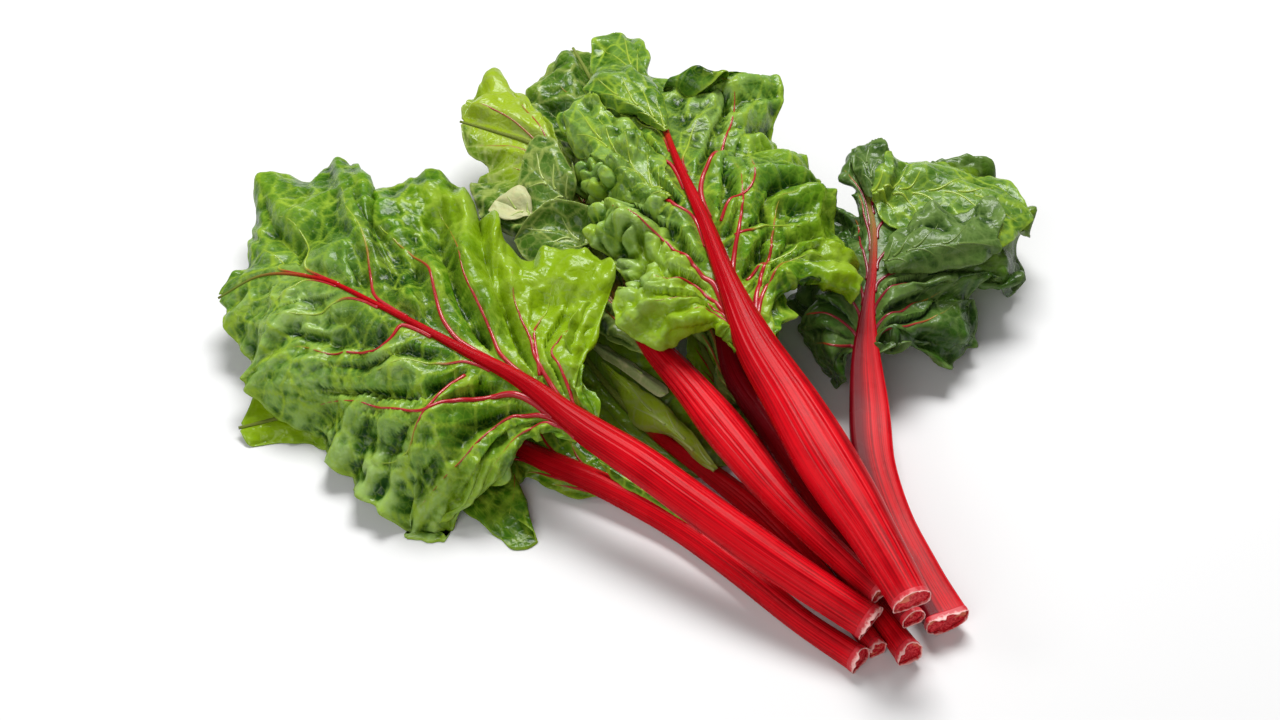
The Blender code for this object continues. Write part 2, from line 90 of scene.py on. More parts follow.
LEAVES = [
    Leaf(
        "left", base=4,
        spine=[(112, -155, 20, 19, 16), (72, -127, 28, 20, 16), (29, -94, 37, 21, 16),
               (-1, -70, 43, 20, 14), (-27, -51, 47, 17, 12), (-38, -42, 49, 14, 10),
               (-57, -27, 54, 10, 8), (-96, -2, 58, 5.2, 4.4), (-138, 30, 56, 3.0, 2.8),
               (-176, 60, 48, 2.2, 2.0), (-209, 73, 36, 1.7, 1.5), (-231, 69, 24, 1.5, 1.2)],
        left=[(.08, -54, -48, 40, 2), (.14, -65, -50, 34, 4), (.20, -69, -64, 22, 6),
              (.27, -83, -78, 10, 9), (.34, -96, -96, 0, 12), (.42, -124, -90, 2, 13),
              (.47, -127, -80, 8, 13), (.54, -152, -54, 10, 13), (.62, -178, -31, 10, 12),
              (.70, -195, -5, 12, 12), (.78, -202, 15, 14, 10), (.86, -214, 33, 18, 8),
              (.94, -225, 52, 20, 4)],
        right=[(.06, -37, -2, 58, 2), (.12, -30, 22, 62, 3), (.17, -14, 38, 60, 3),
               (.22, -21, 56, 62, 3), (.28, -46, 66, 64, 4), (.34, -71, 69, 62, 6),
               (.42, -91, 113, 60, 6), (.48, -112, 134, 54, 6), (.55, -133, 130, 52, 6),
               (.61, -157, 126, 46, 6), (.66, -163, 157, 44, 5), (.74, -191, 163, 36, 5),
               (.82, -218, 148, 30, 5), (.90, -222, 104, 30, 4), (.96, -231, 82, 28, 2)]),
    Leaf(
        "top", base=4,
        spine=[(130, -161, 43, 20, 16), (112, -119, 48, 25, 17), (94, -81, 53, 31, 18),
               (78, -45, 58, 28, 16), (60, -8, 64, 22, 14), (46, 34, 70, 12, 9.5),
               (34, 80, 73, 8.0, 6.4), (21, 126, 72, 4.6, 4.2), (11, 178, 64, 3.0, 2.8),
               (-3, 236, 52, 2.2, 2.0), (-18, 284, 39, 1.8, 1.4)],
        left=[(.04, 43, 20, 58, 2), (.08, 32, 23, 58, 4), (.13, 19, 16, 54, 6),
              (.18, 6, 3, 54, 8), (.23, -8, 10, 56, 8), (.28, -13, 21, 58, 8),
              (.33, -4, 33, 60, 8), (.38, -16, 65, 56, 8), (.44, -22, 79, 56, 8),
              (.50, -22, 103, 56, 8), (.56, -38, 119, 54, 8), (.62, -46, 131, 54, 8),
              (.68, -36, 152, 54, 8), (.75, -47, 188, 52, 8), (.80, -24, 201, 54, 6),
              (.85, -30, 219, 49, 6), (.90, -34, 240, 44, 5), (.95, -29, 271, 40, 4)],
        right=[(.05, 71, 20, 56, 2), (.10, 81, 57, 58, 4), (.16, 95, 61, 58, 5),
               (.22, 107, 57, 58, 4), (.27, 113, 43, 54, 4), (.32, 122, 62, 58, 4),
               (.38, 115, 83, 60, 5), (.45, 108, 107, 58, 6), (.52, 102, 131, 60, 6),
               (.60, 86, 168, 58, 6), (.66, 83, 181, 56, 6), (.72, 84, 216, 54, 6),
               (.78, 60, 228, 56, 6), (.85, 34, 198, 60, 4), (.92, 9, 226, 50, 3),
               (.96, -5, 268, 43, 2)]),
    Leaf(
        "right", base=5, channel_up=True,
        spine=[(151, -146, 9, 23, 17), (140, -119, 11, 21, 17), (129, -87, 14, 20, 16),
               (121, -52, 19, 21, 15), (120, -13, 25, 21, 12), (120, 18, 32, 15, 9),
               (122, 42, 38, 8, 6), (126, 70, 44, 5, 4), (128, 97, 48, 4, 3),
               (126, 122, 51, 3, 2.4), (123, 158, 54, 1.8, 1.4)],
        left=[(.06, 110, 18, 14, 4), (.12, 104, 17, 3, 6), (.18, 94, 24, 3, 8),
              (.25, 87, 47, 5, 8), (.32, 80, 66, 8, 8), (.40, 77, 90, 14, 8),
              (.48, 86, 105, 22, 8), (.56, 98, 113, 32, 6), (.64, 108, 128, 38, 6),
              (.72, 115, 123, 42, 5), (.80, 119, 129, 46, 4), (.87, 110, 139, 48, 4),
              (.94, 112, 155, 52, 3)],
        right=[(.05, 132, 33, 34, 3), (.09, 141, 32, 28, 5), (.13, 155, 27, 18, 8),
               (.18, 170, 32, 10, 8), (.23, 188, 40, 14, 8), (.28, 193, 57, 24, 6),
               (.33, 184, 58, 32, 6), (.38, 194, 76, 36, 8), (.44, 201, 76, 26, 6),
               (.50, 213, 75, 22, 6), (.55, 223, 92, 26, 6), (.60, 214, 106, 34, 4),
               (.64, 222, 112, 36, 6), (.70, 216, 144, 38, 8), (.76, 200, 162, 42, 10),
               (.82, 169, 164, 48, 10), (.88, 149, 157, 50, 6), (.94, 136, 157, 54, 4)]),
    Leaf(
        "front", base=4,
        spine=[(107, -167, 6, 13, 15), (80, -142, 5, 12, 14), (54, -113, 5, 15, 13),
               (25, -85, 6, 15, 12), (-19, -55, 9, 14, 10), (-51, -37, 10, 13, 7),
               (-90, -13, 10, 5, 4), (-128, -4, 9, 4, 3), (-170, -1, 8, 3, 2.4),
               (-213, -11, 5, 1.8, 1.4)],
        left=[(.10, -32, -59, 2, 0), (.22, -47, -51, 2, 0), (.34, -63, -46, 3, 0),
              (.41, -66, -70, 2, 1), (.47, -51, -86, 1, 2), (.53, -65, -92, 1, 3),
              (.60, -79, -78, 1, 3), (.70, -115, -46, 2, 3), (.80, -158, -26, 2, 2),
              (.88, -185, -19, 2, 2), (.95, -206, -21, 2, 1)],
        right=[(.06, -12, -46, 6, 0), (.14, -17, -36, 7, 1), (.24, -28, -24, 8, 1),
               (.36, -46, -8, 8, 2), (.50, -68, 14, 8, 2), (.62, -93, 38, 10, 3),
               (.75, -137, 48, 10, 3), (.86, -180, 42, 10, 3), (.94, -203, 15, 10, 2)]),
    Leaf(
        "middle", base=5,
        spine=[(117, -142, 26, 10, 12), (100, -123, 29, 12, 14), (74, -92, 34, 16, 14),
               (48, -51, 38, 22, 14), (26, -15, 41, 19, 12), (8, 12, 43, 15, 10),
               (-8, 43, 45, 9, 6), (-23, 82, 46, 6, 4.5), (-36, 123, 46, 5, 3.5),
               (-45, 152, 46, 4, 3), (-60, 171, 47, 3, 2.4), (-82, 184, 46, 2.2, 1.8),
               (-104, 196, 44, 1.5, 1.2)],
        left=[(.08, -13, 28, 36, 2), (.16, -27, 45, 38, 3), (.25, -44, 74, 40, 4),
              (.36, -63, 91, 42, 4), (.46, -77, 102, 42, 4), (.56, -89, 114, 42, 4),
              (.66, -94, 139, 41, 3), (.76, -93, 155, 40, 2), (.84, -88, 163, 40, 0),
              (.93, -100, 174, 41, 0)],
        right=[(.10, 21, 33, 40, 2), (.25, 11, 72, 42, 3), (.40, -8, 117, 42, 3),
               (.52, -23, 156, 42, 2), (.62, -34, 175, 42, 2), (.70, -54, 196, 44, 2),
               (.78, -69, 218, 45, 3), (.85, -83, 239, 46, 4), (.93, -96, 222, 46, 3)]),
    Leaf(
        "back", base=3,
        spine=[(133, -153, 20, 12, 11), (115, -119, 19, 12, 12), (93, -78, 20, 15, 13),
               (69, -28, 24, 17, 12), (52, 3, 29, 15, 10), (44, 38, 33, 10, 7),
               (33, 84, 32, 8, 5.5), (14, 137, 29, 6, 4.5), (-6, 190, 26, 4, 3.5),
               (-24, 245, 24, 3, 2.4), (-41, 293, 22, 1.8, 1.4)],
        left=[(.08, 47, -14, 19, 2), (.16, 40, 10, 22, 3), (.28, 27, 43, 26, 3),
              (.45, 5, 84, 24, 3), (.58, -23, 150, 22, 3), (.70, -46, 203, 20, 3),
              (.80, -65, 231, 20, 4), (.88, -65, 250, 22, 4), (.94, -52, 275, 24, 3)],
        right=[(.20, 70, 38, 28, 2), (.40, 50, 108, 24, 3), (.60, 29, 168, 20, 3),
               (.80, 6, 230, 20, 3), (.92, -15, 272, 24, 2)]),
    Leaf(
        "low", base=4,
        spine=[(116, -160, 5, 9, 13), (100, -130, 5, 11, 13), (80, -98, 6, 14, 12),
               (58, -68, 7, 13, 10), (34, -43, 8, 11, 8), (8, -20, 11, 7, 5),
               (-14, 6, 14, 4, 3), (-30, 30, 18, 3, 2.4), (-42, 50, 22, 2.4, 2),
               (-50, 66, 24, 1.6, 1.2)],
        left=[(.10, 20, -44, 4, 0), (.20, 5, -34, 5, 1), (.35, -10, -21, 6, 2),
              (.50, -24, -4, 8, 3), (.62, -36, 14, 10, 3), (.76, -45, 32, 14, 3),
              (.88, -53, 50, 19, 2)],
        right=[(.08, 48, -38, 5, 1), (.20, 44, -24, 8, 1), (.35, 36, -4, 12, 1),
               (.50, 27, 12, 15, 2), (.66, 11, 36, 19, 3), (.80, -11, 56, 22, 3),
               (.93, -33, 68, 25, 2)]),
    Leaf(
        "inner", base=4,
        spine=[(131, -166, 9, 13, 16), (113, -128, 6, 11, 13), (94, -89, 5, 11, 12),
               (77, -53, 6, 11, 10), (60, -24, 10, 8, 8), (48, 1, 14, 5, 4),
               (37, 27, 17, 3.5, 3), (27, 58, 20, 1.8, 1.4)],
        left=[(.15, 48, -18, 6, 1), (.40, 38, 3, 9, 2), (.70, 27, 31, 14, 2)],
        right=[(.15, 73, -13, 7, 1), (.40, 67, 15, 10, 2), (.70, 52, 45, 14, 2)]),
]

# Lobes that curl back over the piles: each has its own small rib.
FOLDS = [
    lobe("cup_back",
         spine=[(-22, 84, 44), (-35, 88, 50), (-52, 90, 54),
                (-69, 88, 50)],
         left=[(.20, -30, 76, 44, 0), (.50, -46, 73, 44, 0), (.80, -63, 77, 46, 0)],
         right=[(.15, -20, 96, 56, -3), (.35, -27, 102, 62, -4), (.60, -46, 106, 64, -4),
                (.85, -61, 96, 60, -2)]),
    lobe("cup_front",
         spine=[(-38, 119, 50), (-47, 124, 54), (-57, 134, 57),
                (-66, 147, 57)],
         left=[(.20, -44, 114, 47, 0), (.50, -58, 109, 47, 0), (.80, -68, 129, 50, 0)],
         right=[(.20, -35, 126, 60, 3), (.45, -40, 141, 63, 3), (.70, -50, 157, 64, 2),
                (.90, -61, 159, 61, 1)]),
    lobe("cup_cream",
         spine=[(-60, 105, 48), (-66, 109, 51), (-73, 114, 52),
                (-80, 119, 51)],
         left=[(.25, -63, 104, 45, 1), (.55, -75, 103, 47, 1), (.85, -84, 112, 48, 0)],
         right=[(.20, -60, 111, 53, 2), (.45, -63, 124, 57, 3), (.75, -76, 122, 53, 2)]),
    lobe("crown_high",
         spine=[(8, 169, 66), (2, 192, 67), (-7, 225, 66),
                (-15, 257, 62)],
         left=[(.15, -3, 175, 64, 2), (.40, -20, 193, 62, 3), (.65, -30, 222, 60, 2),
               (.88, -25, 252, 60, 1)],
         right=[(.20, 13, 185, 65, 2), (.50, 6, 217, 64, 3), (.80, -4, 254, 61, 1)]),
    lobe("crown_roll",
         spine=[(15, 155, 72), (3, 166, 76), (-14, 181, 76),
                (-33, 194, 70)],
         left=[(.15, 8, 159, 70, 2), (.45, -8, 170, 68, 4), (.75, -26, 185, 66, 3)],
         right=[(.15, 14, 174, 72, 3), (.45, 3, 202, 70, 5), (.75, -18, 217, 67, 3)]),
    lobe("side_roll",
         spine=[(17, 93, 66), (0, 113, 71), (-19, 142, 72),
                (-44, 180, 64)],
         left=[(.12, 8, 89, 62, 2), (.35, -10, 98, 58, 5), (.60, -24, 115, 56, 6),
               (.85, -38, 155, 57, 4)],
         right=[(.15, 17, 108, 68, 2), (.40, 8, 142, 68, 3), (.65, -11, 168, 68, 3),
                (.88, -33, 188, 64, 2)]),
    lobe("curl_top",
         spine=[(132, 118, 56), (128, 126, 60), (126, 138, 62),
                (123, 158, 58)],
         left=[(.20, 126, 118, 55, 1), (.50, 120, 135, 55, 3), (.80, 118, 154, 54, 2)],
         right=[(.20, 138, 123, 57, 2), (.50, 141, 139, 58, 3), (.80, 134, 160, 56, 2)]),
    lobe("strap",
         spine=[(39, -51, 16), (23, -34, 20), (0, -8, 22),
                (-21, 25, 20)],
         left=[(.20, 31, -43, 12, 0), (.45, 13, -24, 12, 1), (.65, -4, -15, 12, 1),
               (.85, -18, 18, 12, 1)],
         right=[(.20, 34, -40, 18, 0), (.45, 22, -19, 20, 1), (.65, 6, -2, 22, 1),
                (.85, -13, 16, 21, 1)]),
    lobe("frill",
         spine=[(32, -89, 14), (14, -74, 16), (-2, -63, 18),
                (-22, -46, 18)],
         left=[(.20, 24, -84, 12, 0), (.50, 5, -70, 14, 1), (.80, -14, -54, 14, 1)],
         right=[(.20, 26, -82, 18, 0), (.50, 8, -66, 20, 1), (.80, -11, -49, 20, 1)]),
    lobe("pale_rib",
         spine=[(14, -4, 24), (-2, 11, 26), (-19, 25, 27),
                (-36, 41, 26)],
         left=[(.20, 9, -4, 22, 0), (.50, -11, 17, 22, 0), (.80, -28, 33, 22, 0)],
         right=[(.20, 13, 4, 22, 0), (.50, -10, 25, 22, 0), (.80, -27, 40, 22, 0)]),
    lobe("right_back",
         spine=[(128, 118, 46), (152, 124, 52), (186, 123, 52),
                (219, 112, 44)],
         left=[(.15, 134, 134, 48, 3), (.40, 150, 150, 50, 4), (.65, 178, 151, 48, 4),
               (.90, 208, 139, 44, 2)],
         right=[(.20, 136, 104, 44, 2), (.50, 160, 96, 44, 3), (.80, 196, 88, 42, 3)]),
    lobe("fold_mid",
         spine=[(132, 70, 50), (149, 75, 56), (170, 76, 58),
                (196, 89, 50)],
         left=[(.15, 136, 85, 52, 2), (.40, 151, 101, 54, 4), (.70, 177, 106, 54, 3),
               (.92, 196, 114, 50, 1)],
         right=[(.15, 136, 63, 46, 2), (.40, 154, 66, 46, 4), (.70, 177, 74, 46, 3),
                (.92, 197, 84, 46, 1)]),
]

# Side veins: (width at the midrib in mm, how far its red reaches, places along it). A place is
# (share of the way to the tip, share of the way to the margin), the left side being negative.
VEINS = {
    "left": [
        (2.6, .55, [(.10, .03), (.17, .09), (.225, .17), (.255, .24), (.245, .36), (.235, .45), (.215, .68),
                    (.205, .88)]),
        (3.6, .62, [(.19, .03), (.24, .06), (.29, .17), (.302, .28), (.325, .45), (.335, .57), (.335, .71),
                    (.35, .86)]),
        (2.0, .35, [(.302, .27), (.295, .36), (.287, .45), (.276, .58), (.275, .68), (.262, .84)]),
        (3.4, .60, [(.30, .02), (.355, .04), (.385, .09), (.403, .18), (.425, .26), (.45, .37), (.456, .49),
                    (.467, .6), (.478, .7), (.505, .84)]),
        (3.2, .50, [(.44, .02), (.497, .04), (.517, .09), (.526, .21), (.53, .33), (.545, .42), (.565, .5),
                    (.584, .62), (.603, .8), (.61, .94)]),
        (2.4, .35, [(.64, .02), (.685, .05), (.683, .15), (.673, .33), (.68, .43), (.694, .5), (.695, .65),
                    (.70, .85)]),
        (1.6, .12, [(.80, .02), (.83, .06), (.805, .25), (.795, .39), (.802, .53), (.825, .68),
                    (.845, .88)]),
        (1.2, .10, [(.87, .02), (.885, .06), (.87, .25), (.88, .5), (.885, .85)]),
        (5.2, .85, [(.20, -.02), (.30, -.05), (.352, -.11), (.388, -.21), (.405, -.26), (.447, -.38),
                    (.466, -.46), (.498, -.52), (.547, -.61), (.58, -.64), (.636, -.76), (.66, -.9)]),
        (2.2, .40, [(.462, -.45), (.468, -.56), (.471, -.66), (.493, -.78), (.515, -.85), (.537, -.92)]),
        (5.0, .75, [(.06, -.02), (.17, -.05), (.245, -.17), (.285, -.24), (.32, -.31), (.34, -.38),
                    (.355, -.46), (.364, -.53), (.378, -.62), (.39, -.7), (.41, -.86)]),
        (3.6, .60, [(.04, -.04), (.12, -.12), (.19, -.3), (.235, -.45), (.262, -.62), (.29, -.82)]),
        (2.8, .60, [(.57, -.02), (.605, -.05), (.60, -.13), (.602, -.27), (.647, -.4), (.68, -.53),
                    (.735, -.63), (.77, -.8)]),
        (1.8, .18, [(.70, -.02), (.735, -.08), (.755, -.28), (.765, -.38), (.81, -.55), (.84, -.75)]),
        (1.2, .12, [(.80, -.02), (.83, -.05), (.835, -.2), (.84, -.4), (.85, -.62), (.88, -.85)]),
        (1.8, .25, [(.42, -.02), (.452, -.04), (.477, -.1), (.518, -.2), (.545, -.27), (.564, -.38),
                    (.60, -.5), (.65, -.6)]),
    ],
    "low": [
        (1.8, .0, [(.06, -.10), (.14, -.45), (.22, -.58), (.34, -.62), (.46, -.6), (.56, -.55),
                   (.66, -.5)]),
        (1.2, .0, [(.60, .03), (.66, .2), (.70, .5), (.72, .8)]),
        (1.2, .0, [(.72, -.03), (.77, -.3), (.80, -.6), (.84, -.85)]),
        (1.2, .0, [(.72, .03), (.78, .3), (.82, .6), (.84, .85)]),
    ],
    "top": [
        (4.2, .55, [(.13, .03), (.20, .09), (.255, .18), (.305, .24), (.342, .32), (.385, .4), (.42, .47),
                    (.45, .53), (.465, .58), (.47, .7), (.49, .88)]),
        (1.6, .10, [(.412, .46), (.405, .54), (.405, .68), (.43, .8), (.44, .92)]),
        (3.8, .50, [(.12, .05), (.20, .17), (.245, .26), (.29, .32), (.318, .41), (.325, .53), (.32, .68),
                    (.31, .85)]),
        (1.8, .15, [(.315, .4), (.345, .5), (.37, .6), (.39, .72), (.41, .86)]),
        (3.8, .70, [(.30, .02), (.348, .07), (.39, .15), (.442, .24), (.458, .27), (.478, .29), (.518, .34),
                    (.56, .36)]),
        (2.0, .45, [(.455, .27), (.48, .35), (.505, .42), (.535, .47), (.55, .5), (.59, .6), (.62, .75)]),
        (3.6, .70, [(.48, .02), (.525, .05), (.543, .09), (.56, .17), (.578, .26), (.61, .38), (.64, .45),
                    (.672, .53), (.705, .57), (.75, .62), (.80, .7)]),
        (1.6, .10, [(.60, .03), (.63, .1), (.665, .16), (.70, .28), (.73, .42)]),
        (3.8, .70, [(.41, -.02), (.45, -.04), (.46, -.12), (.467, -.2), (.485, -.27), (.5, -.36),
                    (.525, -.42), (.56, -.46), (.60, -.56), (.64, -.7)]),
        (4.4, .75, [(.23, -.02), (.29, -.05), (.307, -.13), (.325, -.2), (.343, -.27), (.363, -.36),
                    (.382, -.43), (.405, -.5), (.43, -.56), (.455, -.7), (.48, -.86)]),
        (3.0, .70, [(.17, -.03), (.23, -.06), (.262, -.12), (.286, -.2), (.297, -.3), (.305, -.47),
                    (.31, -.58), (.325, -.7), (.35, -.86)]),
        (2.6, .55, [(.14, -.04), (.2, -.08), (.225, -.15), (.24, -.26), (.24, -.38), (.24, -.5),
                    (.245, -.65), (.25, -.85)]),
        (2.4, .60, [(.10, -.05), (.16, -.1), (.185, -.2), (.20, -.33), (.2, -.45), (.195, -.6)]),
        (3.0, .40, [(.56, -.02), (.60, -.05), (.61, -.1), (.625, -.17), (.643, -.28), (.655, -.4),
                    (.67, -.55), (.70, -.75)]),
        (1.6, .10, [(.66, -.02), (.69, -.06), (.70, -.2), (.73, -.4), (.75, -.6)]),
        (1.4, .05, [(.76, -.02), (.79, -.06), (.82, -.25), (.84, -.5), (.86, -.75)]),
    ],
}


# Parts of the blades that differ from the rest, as rows of
# (share along, share out, reach along, reach out, amount).
# The yellow-green kind is partly own colour, partly painted glow on backlit and shaded parts; "dark" is
# painted shade in hollows plus darker patches; the silvery kind is a painted sheen; "rise" and "blister" are
# mm high.
REGIONS = {
    "left": {
        "young": [(.22, .75, .16, .5, .9), (.30, .6, .14, .4, .3), (.46, .8, .10, .3, .2),
                  (.30, -.8, .10, .3, .4), (.78, .8, .15, .5, .15)],
        "dark": [(.62, .35, .05, .25, .6), (.60, -.2, .08, .3, .4)],
        "bloom": [(.88, -.4, .14, .9, 1.0), (.60, -.9, .2, .4, .6), (.40, -.95, .2, .3, .8),
                  (.56, -.3, .05, .12, .9), (.75, -.35, .08, .3, .5), (.15, -.9, .1, .3, .5)],
        "rise": [(.56, -.30, .05, .12, 5), (.62, .30, .035, .3, -5), (.50, -.22, .04, .12, -3)],
        "blister": [(.40, -.75, .2, .4, 1.6), (.75, -.6, .15, .5, 1.2), (.3, .5, .1, .5, .8)],
    },
    "top": {
        "young": [(.22, -.6, .16, .6, 1.3), (.32, .85, .10, .3, .6), (.45, .75, .14, .4, .15),
                  (.60, .8, .12, .4, .25)],
        "dark": [(.58, -.2, .06, .2, .8), (.47, -.3, .05, .2, .6), (.75, -.5, .08, .6, .5),
                 (.68, .25, .06, .25, .5)],
        "bloom": [(.45, -.75, .18, .5, 1.0), (.30, -.9, .1, .3, .6), (.66, .5, .12, .4, .6),
                  (.80, .2, .1, .8, .5)],
        "rise": [(.60, -.2, .035, .2, -6), (.47, -.3, .03, .2, -5), (.66, -.4, .04, .4, 5)],
        "blister": [(.48, -.85, .14, .45, 4.5), (.62, -.7, .12, .5, 4.0), (.35, -.75, .1, .4, 3.0),
                    (.35, .75, .1, .4, 2.0)],
    },
    "right": {
        "young": [(.66, .8, .08, .3, .9), (.75, .6, .25, .5, .55), (.30, .7, .15, .4, .35),
                  (.15, -.8, .1, .4, .3)],
        "bloom": [(.45, .3, .15, .3, .6), (.85, -.2, .12, .5, .5), (.3, -.8, .1, .4, .3)],
        "blister": [(.6, -.4, .4, .6, 2.5)],
    },
    "front": {"young": [(.92, .1, .14, 1.2, 1.1)], "blister": [(.25, -.7, .2, .5, 1.5)]},
    "middle": {
        "young": [(.85, .3, .2, .9, .9)],
        "dark": [(.30, -.3, .25, .8, .9), (.30, .5, .3, .5, .9)],
        "rise": [(.35, -.55, .06, .3, 6)],
        "blister": [(.6, .5, .2, .5, 1.5)],
    },
    "back": {"young": [(.85, -.6, .2, .6, .2)], "blister": [(.8, 0, .3, .8, 2.0)]},
    "low": {"blister": [(.5, 0, .5, 1, 1.0)]},
    "inner": {"blister": [(.5, 0, .5, 1, 3.0)]},
}


class Lay:
    """How one leaf's sheet lies: all heights in millimetres."""

    def __init__(self, rows, columns, ruffle, fold, pucker, wave, crease, seed, young, fade,
                 curl=0.0, veins=0, vein_width=2.4, vein_red=0.5):
        self.rows, self.columns = rows, columns  # strips along the blade, strips across it
        self.ruffle, self.fold, self.pucker, self.wave = ruffle, fold, pucker, wave
        self.crease, self.curl = crease, curl
        self.seed, self.young, self.fade = seed, young, fade
        self.veins, self.vein_width, self.vein_red = veins, vein_width, vein_red


LAYS = {
    "left": Lay(304, 156, ruffle=9, fold=7.0, pucker=1.3, wave=5.0, crease=4.5, curl=6, seed=1, young=.12,
                fade=(.80, .97)),
    "top": Lay(304, 156, ruffle=10, fold=8.5, pucker=1.6, wave=5.0, crease=4.5, curl=8, seed=2, young=.02,
               fade=(.62, .85)),
    "right": Lay(280, 140, ruffle=11, fold=7.0, pucker=1.8, wave=8.0, crease=7.0, curl=9, seed=3, young=-.15,
                 fade=(.45, .9), veins=7, vein_width=2.2),
    "front": Lay(200, 80, ruffle=3, fold=1.5, pucker=.6, wave=1.5, crease=1.5, seed=4, young=.1,
                 fade=(.5, .9), veins=6, vein_width=1.8),
    "middle": Lay(260, 100, ruffle=6, fold=3.0, pucker=.7, wave=4.0, crease=3.5, curl=4, seed=5, young=.15,
                  fade=(.1, .45), veins=8, vein_width=1.8),
    "back": Lay(240, 90, ruffle=6, fold=3.0, pucker=1.0, wave=3.0, crease=3.0, curl=3, seed=6, young=.0,
                fade=(.3, .8), veins=7, vein_width=1.6),
    "low": Lay(160, 80, ruffle=3, fold=1.5, pucker=.6, wave=1.5, crease=2.0, seed=7, young=.9,
               fade=(.36, .50), veins=5, vein_width=1.4),
    "inner": Lay(150, 70, ruffle=5, fold=2.0, pucker=2.2, wave=2.0, crease=2.0, seed=8, young=.55,
                 fade=(.0, .2), veins=5, vein_width=1.4),
}


def lobe_lay(rows, columns, **how):
    """How a lobe lies: it has no red in its veins, and the fade it is given is not used, since a lobe has no
    stalk.
    """
    return Lay(rows, columns, fade=(0, .1), vein_red=0, **how)


# Each folded lobe's finish, how much painted sheen it gets, and how it lies.
FOLD_LAYS = {
    "cup_back": ("leaf_pale", .1, lobe_lay(90, 50,
        ruffle=2, fold=1, pucker=.8, wave=2, crease=1.5, seed=21, young=-.45, veins=3, vein_width=1.2)),
    "cup_front": ("leaf_pale", .25, lobe_lay(90, 50,
        ruffle=2, fold=1, pucker=.6, wave=2, crease=1.5, seed=22, young=.0, veins=3, vein_width=1.2)),
    "cup_cream": ("leaf_cream", .3, lobe_lay(60, 40,
        ruffle=1, fold=.5, pucker=.5, wave=1, crease=1.0, seed=23, young=.8, veins=2, vein_width=1.0)),
    "crown_high": ("leaf_green", .35, lobe_lay(120, 60,
        ruffle=2, fold=1.5, pucker=.8, wave=2, crease=2, seed=24, young=.1, veins=4, vein_width=1.3)),
    "crown_roll": ("leaf_green", .35, lobe_lay(120, 60,
        ruffle=2, fold=1, pucker=1.2, wave=2, crease=2, seed=25, young=-.1, veins=4, vein_width=1.2)),
    "side_roll": ("leaf_green", .75, lobe_lay(160, 80,
        ruffle=3, fold=2, pucker=2.2, wave=3, crease=3, seed=26, young=.1, veins=5, vein_width=1.4)),
    "curl_top": ("leaf_dark", .25, lobe_lay(90, 50,
        ruffle=3, fold=1, pucker=1.6, wave=2, crease=2, seed=27, young=-.2, veins=3, vein_width=1.2)),
    "strap": ("leaf_pale", .1, lobe_lay(120, 40,
        ruffle=2, fold=.5, pucker=.5, wave=1, crease=1.0, seed=30, young=.9, veins=3, vein_width=1.2)),
    "frill": ("leaf_green", 0, lobe_lay(120, 40,
        ruffle=5, fold=1, pucker=.8, wave=2, crease=1.5, seed=31, young=-.3, veins=3, vein_width=1.0)),
    "pale_rib": ("leaf_cream", 0, lobe_lay(90, 24,
        ruffle=0, fold=.2, pucker=.1, wave=0, crease=.3, seed=32, young=.2, veins=1, vein_width=.6)),
    "right_back": ("leaf_green", .5, lobe_lay(120, 70,
        ruffle=2, fold=1, pucker=.6, wave=2, crease=1.5, seed=29, young=-.2, veins=5, vein_width=1.3)),
    "fold_mid": ("leaf_dark", .5, lobe_lay(120, 60,
        ruffle=3, fold=2, pucker=1.2, wave=3, crease=3, seed=28, young=.0, veins=4, vein_width=1.4)),
}


def smooth_through(stations, values, wanted):
    """Values of a smooth curve that has the given values at the given stations."""
    slopes = np.gradient(values, stations, axis=0)
    low = np.clip(np.searchsorted(stations, wanted, side="right") - 1, 0, len(stations) - 2)
    width = (stations[low + 1] - stations[low])[:, None]
    u = (wanted - stations[low])[:, None] / width
    start = (1 + 2 * u) * (1 - u) ** 2 * values[low] + u * (1 - u) ** 2 * width * slopes[low]
    end = u**2 * (3 - 2 * u) * values[low + 1] + u**2 * (u - 1) * width * slopes[low + 1]
    return start + end


def stations_of(points):
    """How far along a route each of its points is."""
    steps = np.linalg.norm(np.diff(points, axis=0), axis=1)
    return np.concatenate([[0.0], np.cumsum(steps)])


def unit(vectors):
    return vectors / np.maximum(np.linalg.norm(vectors, axis=-1, keepdims=True), 1e-9)


def ease(values, low, high):
    """0 below low, 1 above high, and a soft step between."""
    share = np.clip((values - low) / (high - low), 0.0, 1.0)
    return share * share * (3 - 2 * share)


def drift(points, size, seed):
    """A smooth random field, mostly -1 to 1, with bumps about that many millimetres apart."""
    place = points / size + np.array([7.31, 3.17, 5.73]) * (seed + 1)
    low = np.floor(place).astype(int)
    part = place - low
    part = part * part * (3 - 2 * part)
    total = 0.0
    for corner in np.ndindex(2, 2, 2):
        weight = np.prod(np.where(corner, part, 1 - part), axis=-1)
        i, j, k = np.moveaxis((low + corner) % len(LATTICE), -1, 0)
        total = total + weight * LATTICE[i, j, k]
    return total * 1.5


def cells(points, size, seed):
    """How far inside its cell each point is: 0 on the seam between two cells, about 0.5 in the middle."""
    place = points / size + seed * 3.7
    low = np.floor(place).astype(int)
    nearest = np.full(points.shape[:-1], 9.0)
    second = nearest.copy()
    for corner in np.ndindex(3, 3, 3):
        cell = low + corner - 1
        i, j, k = np.moveaxis(cell % len(LATTICE), -1, 0)
        seed_point = cell + 0.5 + 0.45 * np.stack([LATTICE[i, j, k], LATTICE[j, k, i], LATTICE[k, i, j]], -1)
        reach = np.linalg.norm(place - seed_point, axis=-1)
        second = np.minimum(second, np.maximum(nearest, reach))
        nearest = np.minimum(nearest, reach)
    return second - nearest


